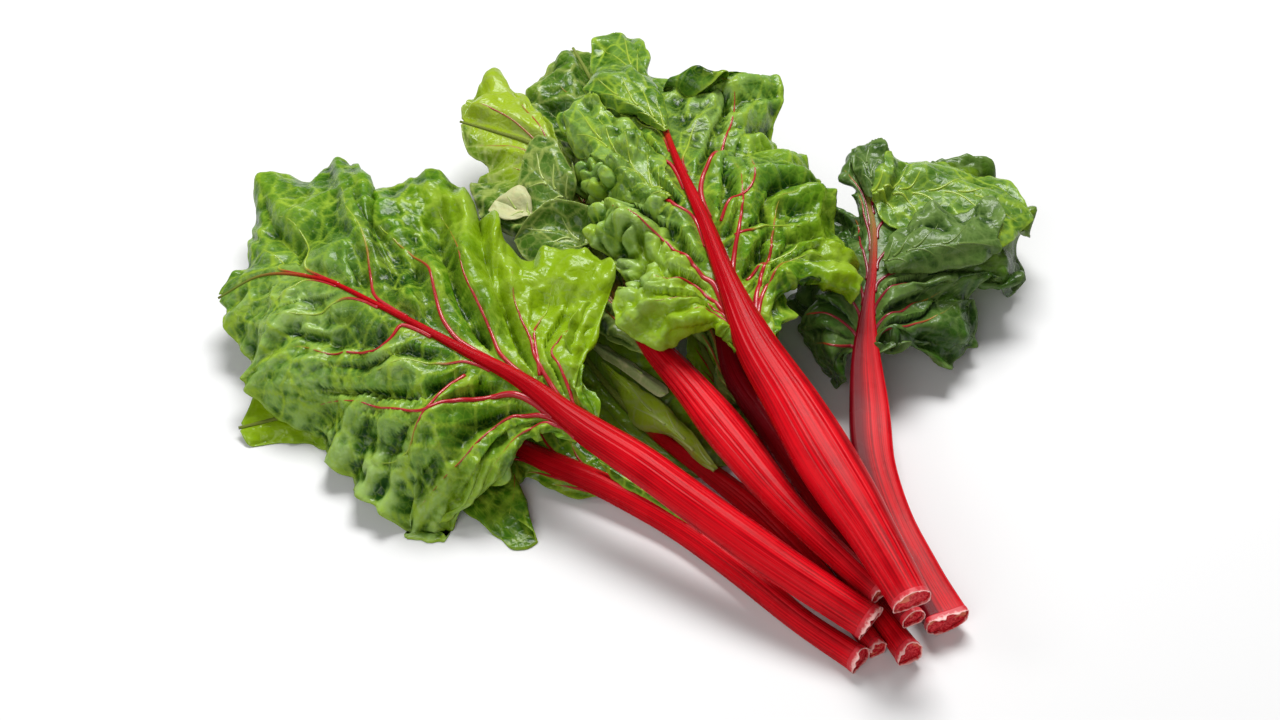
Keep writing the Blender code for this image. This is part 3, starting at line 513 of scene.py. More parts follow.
def spine_at(leaf, distances):
    """Centre, sideways and upward directions, width and depth of the spine at each distance."""
    reach = stations_of(leaf.spine[:, :3])
    rows = smooth_through(reach, leaf.spine, distances)
    ahead = smooth_through(reach, leaf.spine[:, :3], np.minimum(distances + 1.0, reach[-1]))
    behind = smooth_through(reach, leaf.spine[:, :3], np.maximum(distances - 1.0, 0.0))
    forward = unit(ahead - behind)
    sideways = unit(np.cross(forward, (0.0, 0.0, 1.0)))
    upward = np.cross(sideways, forward)
    return rows[:, :3], sideways, upward, rows[:, 3:4], rows[:, 4:5]


def flat_sheet(leaf, rows, columns):
    """The blade before it crinkles: a grid from the left margin, through the midrib, to the right."""
    shares = np.linspace(0.0, BLADE_END, rows + 1)
    reach = stations_of(leaf.spine[:, :3])
    stations = reach[leaf.base] + (reach[-1] - reach[leaf.base]) * shares**TIP_SPREAD
    centre, sideways, upward, width, depth = spine_at(leaf, stations)
    under = centre - upward * depth * (0.05 if leaf.channel_up else 0.32)
    tip = leaf.spine[-1, :3] + under[-1] - centre[-1]
    out = np.linspace(0.0, 1.0, columns // 2 + 1)[None, :, None]
    halves = []
    for side, margin in ((-1, leaf.left), (1, leaf.right)):
        foot = under + side * sideways * 0.4 * width
        start = foot[0] + side * sideways[0]
        places = np.vstack([[0.0, *start, 0.0], margin, [1.0, *tip, 0.0]])
        edge = smooth_through(places[:, 0], places[:, 1:], shares)
        half = foot[:, None] + (edge[:, None, :3] - foot[:, None]) * out
        half[..., 2] += edge[:, None, 3] * 4 * (out * (1 - out))[..., 0]
        halves.append(half)
    points = np.concatenate([halves[0][:, ::-1], under[:, None], halves[1]], axis=1)
    points[..., 2] = np.maximum(points[..., 2], TABLE_GAP)
    return points


def region(leaf, kind, points):
    """How much of something there is all over a blade, from the table of regions."""
    rows, columns = points.shape[:2]
    half = (columns - 3) // 2
    along = np.linspace(0, BLADE_END, rows)[:, None]
    out = np.concatenate([np.linspace(-1, 0, half + 1), [0], np.linspace(0, 1, half + 1)])[None]
    total = np.zeros((rows, columns))
    for share, side, reach_along, reach_out, amount in REGIONS.get(leaf.name, {}).get(kind, ()):
        total += amount * np.exp(-((along - share) / reach_along) ** 2 - ((out - side) / reach_out) ** 2)
    return total


def normals_of(points):
    return unit(np.cross(np.gradient(points, axis=1), np.gradient(points, axis=0)))


def blur(values, times):
    """Spread the values of a grid to their neighbours, again and again."""
    for _ in range(times):
        padded = np.pad(values, ((1, 1), (1, 1)) + ((0, 0),) * (values.ndim - 2), mode="edge")
        around = padded[:-2, 1:-1] + padded[2:, 1:-1] + padded[1:-1, :-2] + padded[1:-1, 2:]
        values = around / 8 + values / 2
    return values


def sample(grid, rows, columns):
    """Values of a grid between its points."""
    rows = np.clip(rows, 0, grid.shape[0] - 1.001)
    columns = np.clip(columns, 0, grid.shape[1] - 1.001)
    r, c = rows.astype(int), columns.astype(int)
    u, v = (rows - r)[:, None], (columns - c)[:, None]
    return ((grid[r, c] * (1 - v) + grid[r, c + 1] * v) * (1 - u)
            + (grid[r + 1, c] * (1 - v) + grid[r + 1, c + 1] * v) * u)


def veins_of(leaf, lay):
    """The leaf's side veins: its own, or an even ladder of them."""
    if leaf.name in VEINS:
        return VEINS[leaf.name]
    chance = np.random.RandomState(lay.seed)
    ladder = []
    for rung in range(lay.veins):
        for side in (-1, 1):
            start = 0.06 + 0.80 * (rung + 0.25 * side + 0.25 * chance.rand()) / lay.veins
            climb = 0.16 + 0.06 * chance.rand()
            bend = 0.05 * (chance.rand() - 0.5)
            way = [(start + climb * t**0.8 + bend * t * (1 - t), side * (0.02 + 0.9 * t**1.5))
                   for t in np.linspace(0, 1, 7)]
            way = [(min(s, 0.985), v) for s, v in way]
            ladder.append((lay.vein_width * (1.2 - 0.6 * rung / lay.veins), lay.vein_red, way))
    return ladder


def vein_route(way, rows, columns):
    """The way of a vein as smooth row and column numbers of the sheet's grid."""
    (share, out), after = way[0], way[1]
    lead = min(0.03, 0.6 * share)
    foot = [(share - lead, 0.25 * out), (0.5 * (share + after[0]) - lead / 2, 0.6 * out)]
    way = np.array([*foot, *way[1:]], float)
    half = columns // 2
    column = np.where(way[:, 1] < 0, half + way[:, 1] * half, half + 2 + way[:, 1] * half)
    row = way[:, 0] / BLADE_END * rows
    knots = stations_of(np.stack([row, column], 1))
    fine = np.linspace(0.0, knots[-1], max(12, int(knots[-1] / 1.5)))
    route = smooth_through(knots, np.stack([row, column], 1), fine)
    return route[:, 0], route[:, 1], fine / fine[-1]


def nearest_veins(leaf, lay, points):
    """The routes of a blade's side veins and, for each of its points, the distance to the nearest
    one, the same with a sign for which side of it the point is on, and that vein's width there."""
    rows = points.shape[0] - 1
    routes, lines, strength, vein_share = [], [], [], []
    for width, red, way in veins_of(leaf, lay):
        row, column, along = vein_route(way, lay.rows, lay.columns)
        routes.append((width, red, row, column, along))
        lines.append(sample(points, row, column))
        strength.append(width * (1 - 0.75 * along))
        vein_share.append(row / rows)
    lines, strength, vein_share = (np.concatenate(part) for part in (lines, strength, vein_share))
    tree = KDTree(len(lines))
    for number, point in enumerate(lines):
        tree.insert(point, number)
    tree.balance()
    found = [tree.find(point)[1:] for point in points.reshape(-1, 3)]
    from_vein = np.array([reach for _, reach in found]).reshape(points.shape[:2])
    nearest = np.array([number for number, _ in found])
    vein_width = strength[nearest].reshape(points.shape[:2])
    tipward = np.linspace(0, 1, rows + 1)[:, None] - vein_share[nearest].reshape(points.shape[:2])
    past_vein = from_vein * np.clip(tipward * 160.0, -1.0, 1.0)
    return routes, from_vein, past_vein, vein_width


def crinkle(leaf, lay):
    """The finished middle surface of a blade, its vein routes, and what its colour needs to know."""
    points = flat_sheet(leaf, lay.rows, lay.columns)
    rows, columns = points.shape[0] - 1, points.shape[1] - 1
    half = lay.columns // 2
    share = np.abs(np.concatenate(
        [np.linspace(-1, 0, half + 1)[:-1], [0, 0, 0], np.linspace(0, 1, half + 1)[1:]]))
    share = np.broadcast_to(share, points.shape[:2])
    centre_line = points[:, half + 1]
    from_rib = np.linalg.norm(points - centre_line[:, None], axis=-1)
    to_rim = np.where(np.arange(columns + 1) <= half,
                      np.linalg.norm(points - points[:, :1], axis=-1),
                      np.linalg.norm(points - points[:, -1:], axis=-1))

    routes, from_vein, past_vein, vein_width = nearest_veins(leaf, lay, points)
    side = -1.0 if not leaf.channel_up else 1.0
    up = normals_of(blur(points, 8))
    calm = ease(from_rib, 3.0, 16.0)
    inner = 1.0 - 0.5 * share**2
    swell = 0.65 + 0.6 * drift(points, 38.0, lay.seed)
    rise = side * 0.35 * lay.fold * swell * (1 - np.exp(-(from_vein / 9.0) ** 1.6)) * calm * inner
    hollow = np.exp(-((past_vein - 6.5) / 5.0) ** 2) - 0.4 * np.exp(-((past_vein + 5.0) / 7.0) ** 2)
    rise -= lay.fold * (0.5 + 0.5 * swell) * hollow * ease(vein_width, 0.4, 2.0) * calm * (1 - 0.8 * share**4)
    rise += lay.wave * drift(points, 42.0, lay.seed + 10) * calm
    rise += 0.5 * lay.wave * drift(points, 21.0, lay.seed + 20) * calm

    length = stations_of(centre_line)[-1]
    along = np.linspace(0, BLADE_END, rows + 1)[:, None] + 0.02 * drift(points, 45.0, lay.seed + 25)
    signed = np.where(np.arange(columns + 1) <= half + 1, -share, share)
    lanes = np.stack([along * length * 1.1, signed * 26.0, 0 * along], -1)
    ridge = 1 - 2 * np.abs(drift(lanes, 19.0, lay.seed + 26))
    ridge = ridge * 0.7 + 0.5 * drift(lanes, 9.0, lay.seed + 27)
    rise += side * lay.crease * ridge * ease(share, 0.03, 0.5) * calm
    rise -= lay.curl * ease(share, 0.72, 1.0) ** 2 * (0.5 + drift(points, 40.0, lay.seed + 28)) * calm

    edge_left, edge_right = stations_of(points[:, 0]), stations_of(points[:, -1])
    for edge, part, turn in ((edge_left, slice(0, half + 1), 30), (edge_right, slice(half + 2, None), 40)):
        line = np.stack([edge, 0 * edge, 0 * edge], 1)
        pleat = (drift(line, 24.0, lay.seed + turn) + 0.55 * drift(line, 11.0, lay.seed + turn + 1)
                 + 0.22 * drift(line, 5.5, lay.seed + turn + 2))
        out = share[:, part] ** 2.6 * ease(to_rim[:, part] + 30, 20, 30)
        rise[:, part] += lay.ruffle * pleat[:, None] * out * ease(from_rib[:, part], 4.0, 30.0)

    big, small = cells(points, 17.0, lay.seed), cells(points, 8.0, lay.seed + 3)
    rough = ease(drift(points, 60.0, lay.seed + 50), -0.8, 0.9)
    rise += side * lay.pucker * (0.3 + rough) * (ease(big, 0.0, 0.55) - 0.5) * calm
    rise += side * 0.4 * lay.pucker * (0.3 + rough) * (ease(small, 0.0, 0.5) - 0.5) * calm
    lumpy = 0.5 + 0.7 * drift(points, 30.0, lay.seed + 62)
    kink = 1 - 2 * np.abs(drift(points, 13.0, lay.seed + 61))
    rise += (0.3 * drift(points, 4.5, lay.seed + 60) + 1.3 * lumpy * kink) * calm

    blister = region(leaf, "blister", points)
    rise += blister * (ease(cells(points, 10.5, lay.seed + 5), 0.0, 0.42) - 0.4) * calm
    rise += region(leaf, "rise", points) * calm
    lifted = points + up * rise[..., None]
    outward = unit(points - np.roll(points, 1, axis=1))
    outward[:, :half + 1] = unit(points[:, :half + 1] - points[:, 1:half + 2])
    notch = (0.9 * drift(points, 7.0, lay.seed + 70) + 1.2 * drift(points, 16.0, lay.seed + 71)) * share**8
    lifted += outward * (notch * ease(from_rib, 6.0, 30.0))[..., None]
    lifted[..., 2] = np.maximum(lifted[..., 2], TABLE_GAP)
    # crest and lump, how far the sheet stands above or sinks below its surroundings, drive painted light on
    # raised parts and painted shade in hollows in the leaf's colour.
    crest = rise - blur(rise, 60)
    looks = {
        "vein": np.exp(-from_vein / (0.8 + 0.5 * vein_width)) * ease(vein_width, 0.2, 1.5),
        "net": ease(big, 0.02, 0.10),
        "fine_net": ease(small, 0.02, 0.12),
        "rim": 1 - ease(to_rim, 0.4, 2.6),
        "near_rim": 1 - ease(to_rim, 3.0, 30.0),
        "crest": np.clip(crest / 6.0, -1.0, 1.0),
        "lump": np.clip((rise - blur(rise, 10)) / 2.2, -1.0, 1.0),
    }
    return lifted, routes, looks


class Pile:
    """How high the leaves laid so far reach, all over the table."""

    def __init__(self):
        self.low = np.array([-300.0, -260.0])
        self.height = np.full((400, 440), -50.0)

    def spots(self, points):
        spot = ((points[..., :2] - self.low) / HEIGHT_STEP).astype(int)
        return np.clip(spot, 0, np.array(self.height.shape) - 1)

    def lay_on(self, points):
        spot = self.spots(points)
        np.maximum.at(self.height, (spot[..., 0], spot[..., 1]), points[..., 2])

    def clear(self, points, gap, most):
        """Lift a sheet's points so that they pass over what already lies there."""
        spot = self.spots(points)
        need = self.height[spot[..., 0], spot[..., 1]] + gap - points[..., 2]
        lift = np.clip(need, 0.0, most) * (need < 2.5 * most)
        for _ in range(6):
            lift = np.maximum(lift, blur(lift, 3))
        points = points.copy()
        points[..., 2] += lift
        return points


def new_object(name, mesh, materials):
    thing = bpy.data.objects.new(name, mesh)
    bpy.context.scene.collection.objects.link(thing)
    for material in materials:
        mesh.materials.append(material)
    mesh.shade_smooth()
    return thing


def thicken(thing, thickness):
    wall = thing.modifiers.new("thickness", "SOLIDIFY")
    wall.thickness = thickness * MM
    wall.offset = 0.0
    return thing


def give_attribute(mesh, name, values):
    if values.ndim == 1:
        layer = mesh.attributes.new(name, "FLOAT", "POINT")
        layer.data.foreach_set("value", values.astype(np.float32))
    else:
        layer = mesh.attributes.new(name, "FLOAT_VECTOR", "POINT")
        layer.data.foreach_set("vector", values.astype(np.float32).ravel())


def sheet_object(name, points, looks, material):
    """A grid of points as a closed sheet with its thickness."""
    shape = bmesh.new()
    bmesh.ops.create_grid(shape, x_segments=points.shape[1] - 1, y_segments=points.shape[0] - 1)
    mesh = bpy.data.meshes.new(name)
    shape.to_mesh(mesh)
    shape.free()
    mesh.vertices.foreach_set("co", ((points - BUNCH_MIDDLE) * MM).astype(np.float32).ravel())
    for look, values in looks.items():
        give_attribute(mesh, look, values.ravel())
    mesh.update()
    return thicken(new_object(name, mesh, [material]), SHEET_THICKNESS)


def wrapped(shape, rings, layers):
    """Add a closed tube to a bmesh from rings of points, whose last point repeats the first."""
    for name, values in layers.items():
        kind = shape.verts.layers.float if values.ndim == 1 else shape.verts.layers.float_vector
        kind.get(name) or kind.new(name)
    count, sides = rings.shape[0] - 1, rings.shape[1] - 1
    made = bmesh.ops.create_grid(shape, x_segments=sides, y_segments=count)["verts"]
    for vertex, point in zip(made, (rings.reshape(-1, 3) - BUNCH_MIDDLE) * MM):
        vertex.co = point
    for name, values in layers.items():
        kind = shape.verts.layers.float if values.ndim == 1 else shape.verts.layers.float_vector
        layer = kind.get(name)
        for vertex, value in zip(made, values):
            vertex[layer] = value


def welded_object(name, shape, material, capped=True):
    bmesh.ops.remove_doubles(shape, verts=shape.verts, dist=WELD * MM)
    if capped:
        bmesh.ops.holes_fill(shape, edges=shape.edges, sides=200)
    bmesh.ops.recalc_face_normals(shape, faces=shape.faces)
    mesh = bpy.data.meshes.new(name)
    shape.to_mesh(mesh)
    shape.free()
    return new_object(name, mesh, [material])


def vein_object(leaf, surface, routes, material):
    """All of a leaf's side veins, lying half sunk on its sheet."""
    shape = bmesh.new()
    up = normals_of(blur(surface, 2))
    turn = np.linspace(0, 2 * math.pi, VEIN_SIDES + 1)
    for width, red, row, column, along in routes:
        line = sample(surface, row, column)
        for _ in range(2):
            line[1:-1] = (line[:-2] + line[2:]) / 4 + line[1:-1] / 2
        normal = unit(sample(up, row, column))
        forward = unit(np.gradient(line, axis=0))
        sideways = unit(np.cross(forward, normal))
        size = 0.5 * (width * (1 - along) ** 1.2 * 0.85 + 0.55 * (1 - along) + 0.16)
        size = size[:, None, None]
        rings = (line[:, None] + sideways[:, None] * np.cos(turn)[None, :, None] * size
                 + normal[:, None] * (np.sin(turn)[None, :, None] * 0.85 + 0.35) * size)
        redness = np.repeat((1 - ease(along, 0.5 * red, 1.6 * red + 0.08)) * (red > 0), VEIN_SIDES + 1)
        wrapped(shape, rings, {"red": redness})
    return welded_object("veins_" + leaf.name, shape, material)


# The grooves along a stalk: place across it, as a share of its width, and depth in mm.
GROOVES = {-.455: .5, -.41: .7, -.36: .5, -.30: .7, -.235: .4, -.16: .5,
           .14: .35, .215: .6, .28: .4, .345: .7, .40: .5, .45: .6}


def stalk_rings(leaf, seed):
    """Rings round a stalk from the cut end to the tip of its midrib, with its lengthwise ribs."""
    reach = stations_of(leaf.spine[:, :3])
    base, end = reach[leaf.base], reach[-1]
    stations = np.concatenate([np.arange(0.0, base, 2.2), np.linspace(base, end, 90)])
    centre, sideways, upward, width, depth = spine_at(leaf, stations)
    turn = np.linspace(0, 2 * math.pi, STALK_SIDES + 1)
    across = 0.5 * np.cos(turn)[None, :] * np.ones_like(width)
    floor = np.minimum(np.sin(turn), 0.0)
    high = (0.5 * np.maximum(np.sin(turn), 0.0) ** 0.85 - 0.5 * np.sqrt(-floor)
            + 0.5 * CHANNEL_DEPTH * floor**2)
    high = high[None, :] * np.ones_like(width)
    groove = np.zeros_like(high)
    line = np.stack([stations, 0 * stations, 0 * stations], 1)
    for number, (place, depth_mm) in enumerate(GROOVES.items()):
        shift = 0.012 * drift(line, 60.0, seed + number)[:, None]
        cut = depth_mm * (0.75 + 0.4 * drift(line, 90.0, seed + 20 + number)[:, None])
        groove += cut * np.exp(-(((across - place - shift) * width) / 0.75) ** 2)
    groove *= ease(width, 4.0, 14.0) * np.where(high > -0.05, 1.0, 0.0)
    flip = -1.0 if leaf.channel_up else 1.0
    uneven = 1 + 0.02 * drift(line, 25.0, seed + 40)[:, None]
    points = (centre[:, None] + (sideways * width)[:, None] * (across * uneven)[..., None]
              + upward[:, None] * (flip * (high * depth * uneven - groove * np.sign(high + 0.05)))[..., None])
    return stations, turn, points, across, high, centre, sideways, upward, width, depth


def stalk_object(leaf, seed, fade, material):
    """A stalk's ribbed skin from its rough, moist cut face to the tip of the midrib."""
    stations, _, points, across, high, centre, sideways, upward, _, _ = stalk_rings(leaf, seed)
    forward = np.cross(upward[0], sideways[0])
    shares = np.array([0.0, 0.35, 0.62, 0.82, 0.93, 1.0])
    cap = centre[0] + (points[0] - centre[0]) * shares[:, None, None]
    rough = 0.7 * drift(cap, 2.0, seed) + 0.8 * drift(cap, 5.0, seed + 1) + 0.5
    rough *= 1 - ease(shares, 0.9, 1.0)[:, None]
    rough[0] = rough[0, 0]
    rough[:, -1] = rough[:, 0]
    cap = cap + forward * rough[..., None] + forward * 1.2
    rings = np.concatenate([cap, points[1:]])
    along = np.concatenate([np.zeros(len(shares)), stations[1:]])
    lie_across = np.concatenate([across[0] * shares[:, None], across[1:]])
    lie_high = np.concatenate([high[0] * shares[:, None], high[1:]])
    lie = np.stack([lie_across * 20, lie_high * 14, along[:, None] * np.ones_like(lie_across)], -1)
    flesh = np.concatenate([1 - ease(shares, 0.93, 1.0), np.zeros(len(points) - 1)])
    blade_base = stations_of(leaf.spine[:, :3])[leaf.base]
    # upper: where the stalk's colour is darkened toward the midrib, as painted shade.
    upper = ease(along, blade_base * 0.75, blade_base * 1.05)
    fade_from, fade_to = (blade_base + (stations[-1] - blade_base) * share**TIP_SPREAD for share in fade)
    tip = ease(along, fade_from, fade_to)
    spread = np.ones_like(lie_across)
    # wall: one side darkened to wine, partly own colour and partly painted shade.
    wall = ease(-lie_across, 0.05, 0.22) * (leaf.name in DARK_SIDED)
    shape = bmesh.new()
    wrapped(shape, rings, {
        "wall": wall.ravel(),
        "lie": lie.reshape(-1, 3),
        "flesh": (flesh[:, None] * spread).ravel(),
        "upper": (upper[:, None] * spread).ravel(),
        "tip": (tip[:, None] * spread).ravel(),
        "cut": ((1 - ease(along, 1.0, 9.0))[:, None] * spread).ravel(),
    })
    return welded_object("stalk_skin_" + leaf.name, shape, material)


def torn_rim(leaf, seed, material):
    """The pale skin left standing in jagged flaps round the cut end."""
    _, turn, points, _, _, centre, sideways, upward, width, depth = stalk_rings(leaf, seed)
    ring = centre[0] + (points[0] - centre[0]) * 0.995
    forward = np.cross(upward[0], sideways[0])
    outward = unit(ring - centre[0])
    ring_line = np.stack([0.5 * width[0] * np.cos(turn), 0.5 * depth[0] * np.sin(turn), 0 * turn], 1)
    top = ease(outward[:, 2], -0.6, 0.5)
    flap = 0.5 + 1.1 * drift(ring_line, 1.8, seed + 5) + 1.3 * drift(ring_line, 5.0, seed + 6)
    flap = np.clip(flap, 0.15, 3.2) * (0.35 + 0.65 * top)
    flap[-1] = flap[0]
    shares = np.linspace(-1.4, 1.0, 9)
    rows = []
    for share in shares:
        out = 0.10 + 0.55 * max(share, 0.0) ** 2 * (0.4 + 0.6 * drift(ring_line, 3.0, seed + 8)[:, None])
        out = out if share > -1.3 else -0.1
        row = ring - forward * (np.where(share < 0, share * 2.2, share * flap))[:, None] + outward * out
        row[-1] = row[0]
        row[:, 2] = np.maximum(row[:, 2], TABLE_GAP)
        rows.append(row)
    rings = np.stack(rows)
    shape = bmesh.new()
    wrapped(shape, rings, {"flap": np.repeat(shares, rings.shape[1])})
    rim = welded_object("torn_rim_" + leaf.name, shape, material, capped=False)
    return thicken(rim, SKIN_THICKNESS)


class Wire:
    """A socket in a material. Sums and products of wires add the Math nodes that they need."""

    def __init__(self, tree, socket=None):
        self.tree, self.socket = tree, socket

    def node(self, kind, settings=(), inputs=(), output=0):
        """Add any other node: its settings first, then the values or wires of its sockets."""
        made = self.tree.nodes.new("ShaderNode" + kind)
        for name, value in dict(settings).items():
            if name == "stops":
                ramp = made.color_ramp
                while len(ramp.elements) < len(value):
                    ramp.elements.new(0.5)
                for element, (place, colour) in zip(ramp.elements, value):
                    element.position, element.color = place, (*colour, 1.0)
            else:
                setattr(made, name, value)
        for name, value in dict(inputs).items():
            if isinstance(value, Wire):
                self.tree.links.new(value.socket, made.inputs[name])
            else:
                made.inputs[name].default_value = value
        return Wire(self.tree, made.outputs[output])

    def attribute(self, name, output="Fac"):
        return self.node("Attribute", {"attribute_name": name}, (), output)

    def objects_place(self):
        return self.node("TexCoord", (), (), "Object")

    def noise(self, place, scale, detail=2.0, roughness=0.5, output=0):
        values = {"Vector": place, "Scale": scale, "Detail": detail, "Roughness": roughness}
        return self.node("TexNoise", (), values, output)

    def maths(self, operation, *values):
        return self.node("Math", {"operation": operation}, dict(enumerate(values)))

    def __add__(self, other):
        return self.maths("ADD", self, other)

    __radd__ = __add__

    def __mul__(self, other):
        return self.maths("MULTIPLY", self, other)

    __rmul__ = __mul__

    def __sub__(self, other):
        return self.maths("SUBTRACT", self, other)

    def __rsub__(self, other):
        return self.maths("SUBTRACT", other, self)

    def step(self, low, high):
        """0 below low, 1 above high, and a soft step between."""
        return self.node("MapRange", {"interpolation_type": "SMOOTHSTEP"}, {0: self, 1: low, 2: high})

    def blend(self, first, second):
        """The first colour where this wire is 0 and the second where it is 1."""
        colours = {6: first, 7: second}
        for key, colour in colours.items():
            if not isinstance(colour, Wire):
                colours[key] = (*colour, 1.0)
        return self.node("Mix", {"data_type": "RGBA"}, {0: self, **colours}, 2)


def new_material(name):
    """A material, a wire to build from, and its Principled shader with the output already joined."""
    material = bpy.data.materials.new(name)
    material.use_nodes = True
    return material, Wire(material.node_tree), material.node_tree.nodes["Principled BSDF"]


def join(wire, shader, socket):
    shader.id_data.links.new(wire.socket, shader.inputs[socket])


def let_light_through(material, shader, colour, amount):
    """Mix some plain translucent light into a thin sheet's material."""
    tree = material.node_tree
    glow = tree.nodes.new("ShaderNodeBsdfTranslucent")
    glow.inputs["Color"].default_value = (*colour, 1.0)
    both = tree.nodes.new("ShaderNodeMixShader")
    both.inputs[0].default_value = amount
    tree.links.new(shader.outputs[0], both.inputs[1])
    tree.links.new(glow.outputs[0], both.inputs[2])
    tree.links.new(both.outputs[0], tree.nodes["Material Output"].inputs["Surface"])


def leaf_material(name, deep, green, young, seam, through, roughness=0.27):
    """Waxy chard leaf: painted shade in hollows and painted light on crests, yellow-green parts that are
    partly painted glow, a painted sheen, pale seams and a painted highlight along the rim.
    """
    material, start, shader = new_material(name)
    place = start.objects_place()
    look = {key: start.attribute(key)
            for key in ("vein", "net", "fine_net", "rim", "near_rim", "crest", "lump",
                        "young", "dark", "bloom")}
    patches = start.noise(place, 26.0, 4.0, 0.6)
    specks = start.noise(place, 420.0, 3.0)
    bend = start.noise(place, 130.0, 2.0, output="Color")
    bent = start.node("MixRGB", {"blend_type": "ADD"}, {0: 0.004, 1: place, 2: bend})
    web = start.node("TexVoronoi", {"feature": "DISTANCE_TO_EDGE"}, {"Vector": bent, "Scale": 230.0})
    threads = 1 - web.step(0.0, 0.09)

    mottle = start.noise(bent, 95.0, 5.0, 0.65)
    # Painted light and shade: crests and lumps are painted lighter, hollows and the dark regions darker, over
    # random patches.
    light = (patches * 0.35 + mottle * 0.3 + look["crest"] * 0.34 + look["lump"] * 0.40 - look["dark"] * 0.5
             + 0.16).step(0.08, 0.80)
    colour = light.blend(deep, green)
    # Yellow-green share: partly the leaf's own yellow-green, partly painted glow on backlit and shaded parts,
    # lifted further on crests as painted light.
    glow_share = look["young"] + (patches - 0.5) * 0.9 + look["crest"] * 0.15 - look["dark"] * 0.5
    colour = glow_share.step(0.12, 0.75).blend(colour, young)
    # A painted silvery sheen on the crests and lumps of the sheen regions.
    shine = look["bloom"] * (look["crest"] * 0.5 + look["lump"] * 0.5 + mottle).step(0.22, 0.86)
    colour = (shine * 0.95).blend(colour, (0.42, 0.62, 0.17))
    worn = patches.step(0.30, 0.62)
    lines = ((1 - look["net"]) * 0.35 + (1 - look["net"]) * worn * 0.4
             + (1 - look["fine_net"]) * worn * 0.45 + threads * 0.22)
    colour = lines.blend(colour, seam)
    colour = (look["vein"] * 0.8).blend(colour, seam)
    # A painted highlight along the margin, where the edge catches the light.
    colour = (look["rim"] * 0.65).blend(colour, seam)
    join(colour, shader, "Base Color")
    join(specks * 0.16 + (roughness - 0.08) - look["near_rim"] * 0.04, shader, "Roughness")
    relief = web.step(0.0, 0.30) * 0.6 + specks * 0.35
    bump = start.node("Bump", (), {"Strength": 0.35, "Distance": 0.0006, "Height": relief})
    join(bump, shader, "Normal")
    shader.inputs["Specular IOR Level"].default_value = 0.28
    let_light_through(material, shader, through, 0.25)
    return material


def stalk_material(name, dark, red, pale, end):
    """Glossy ribbed skin with fine lengthwise threads, the pale ones painted highlights, painted shade toward
    the midrib, a wine wall down one side of a dark-sided stalk that is partly own colour and partly painted
    shade, and moist flesh where it is cut.
    """
    material, start, shader = new_material(name)
    lie = start.attribute("lie", "Vector")
    look = {key: start.attribute(key)
            for key in ("flesh", "upper", "tip", "cut", "wall")}
    place = start.objects_place()

    def threads(width, length, detail):
        stretched = start.node("Mapping", (), {"Vector": lie, "Scale": (1 / width, 1 / width, 1 / length)})
        return start.noise(stretched, 1.0, detail)

    broad, fine, hair = threads(5.0, 220.0, 1.0), threads(0.9, 140.0, 2.0), threads(0.32, 110.0, 2.0)
    blotch = start.noise(place, 60.0, 3.0)
    tone = broad * 0.35 + fine * 0.5 + blotch * 0.2 - 0.06
    colour = tone.step(0.32, 0.58).blend(dark, red)
    # Pale pink threads are painted highlights along the ribs.
    painted_highlight_threads = hair.step(0.58, 0.70) * fine.step(0.46, 0.60)
    colour = (painted_highlight_threads * 0.24).blend(colour, pale)
    dark_threads = 1 - hair.step(0.30, 0.42)
    colour = (dark_threads * 0.75).blend(colour, dark)
    colour = (look["cut"] * 0.12).blend(colour, pale)
    # Painted shade: the stalk darkens toward the midrib, where it tilts up into the light.
    colour = (look["upper"] * 0.45).blend(colour, dark)
    # Wine down one wall of a dark-sided stalk: partly its own colour, partly painted shade.
    colour = (look["wall"] * 0.85).blend(colour, WINE)
    colour = look["tip"].blend(colour, end)
    grain = start.noise(place, 900.0, 3.0)
    pith = grain.step(0.35, 0.65).blend((0.56, 0.008, 0.02), (0.82, 0.07, 0.08))
    peach = start.noise(place, 95.0, 2.0).step(0.54, 0.62)
    pith = (peach * 0.8).blend(pith, (0.84, 0.26, 0.15))
    colour = look["flesh"].blend(colour, pith)
    join(colour, shader, "Base Color")
    join(blotch * 0.16 + 0.20 - look["flesh"] * 0.05, shader, "Roughness")
    relief = fine * 0.6 + hair * 0.25 + grain * (look["flesh"] * 0.8)
    bump = start.node("Bump", (), {"Strength": 0.5, "Distance": 0.0006, "Height": relief})
    join(bump, shader, "Normal")
    shader.inputs["Specular IOR Level"].default_value = 0.06
    return material


def vein_material(name, red, end):
    """Side veins: crimson by the midrib, turning orange and then yellow-green."""
    material, start, shader = new_material(name)
    place = start.objects_place()
    redness = start.attribute("red")
    blotch = start.noise(place, 150.0, 3.0)
    tone = start.node("ValToRGB", {"stops": [
        (0.04, end), (0.28, (0.32, 0.17, 0.012)), (0.55, (0.34, 0.022, 0.010)), (0.95, red)]},
        {0: redness + (blotch - 0.5) * 0.25})
    join(tone, shader, "Base Color")
    join(blotch * 0.2 + 0.25, shader, "Roughness")
    shader.inputs["Coat Weight"].default_value = 0.15
    return material


def torn_skin_material():
    """Dry, pale pink skin standing up round a cut."""
    material, start, shader = new_material("torn_skin")
    place = start.objects_place()
    flap = start.attribute("flap")
    blotch = start.noise(place, 500.0, 3.0)
    colour = (flap + (blotch - 0.5) * 2.2).step(-0.5, 0.6).blend((0.58, 0.008, 0.02), (0.90, 0.50, 0.46))
    join(colour, shader, "Base Color")
    join(blotch * 0.2 + 0.4, shader, "Roughness")
    return material


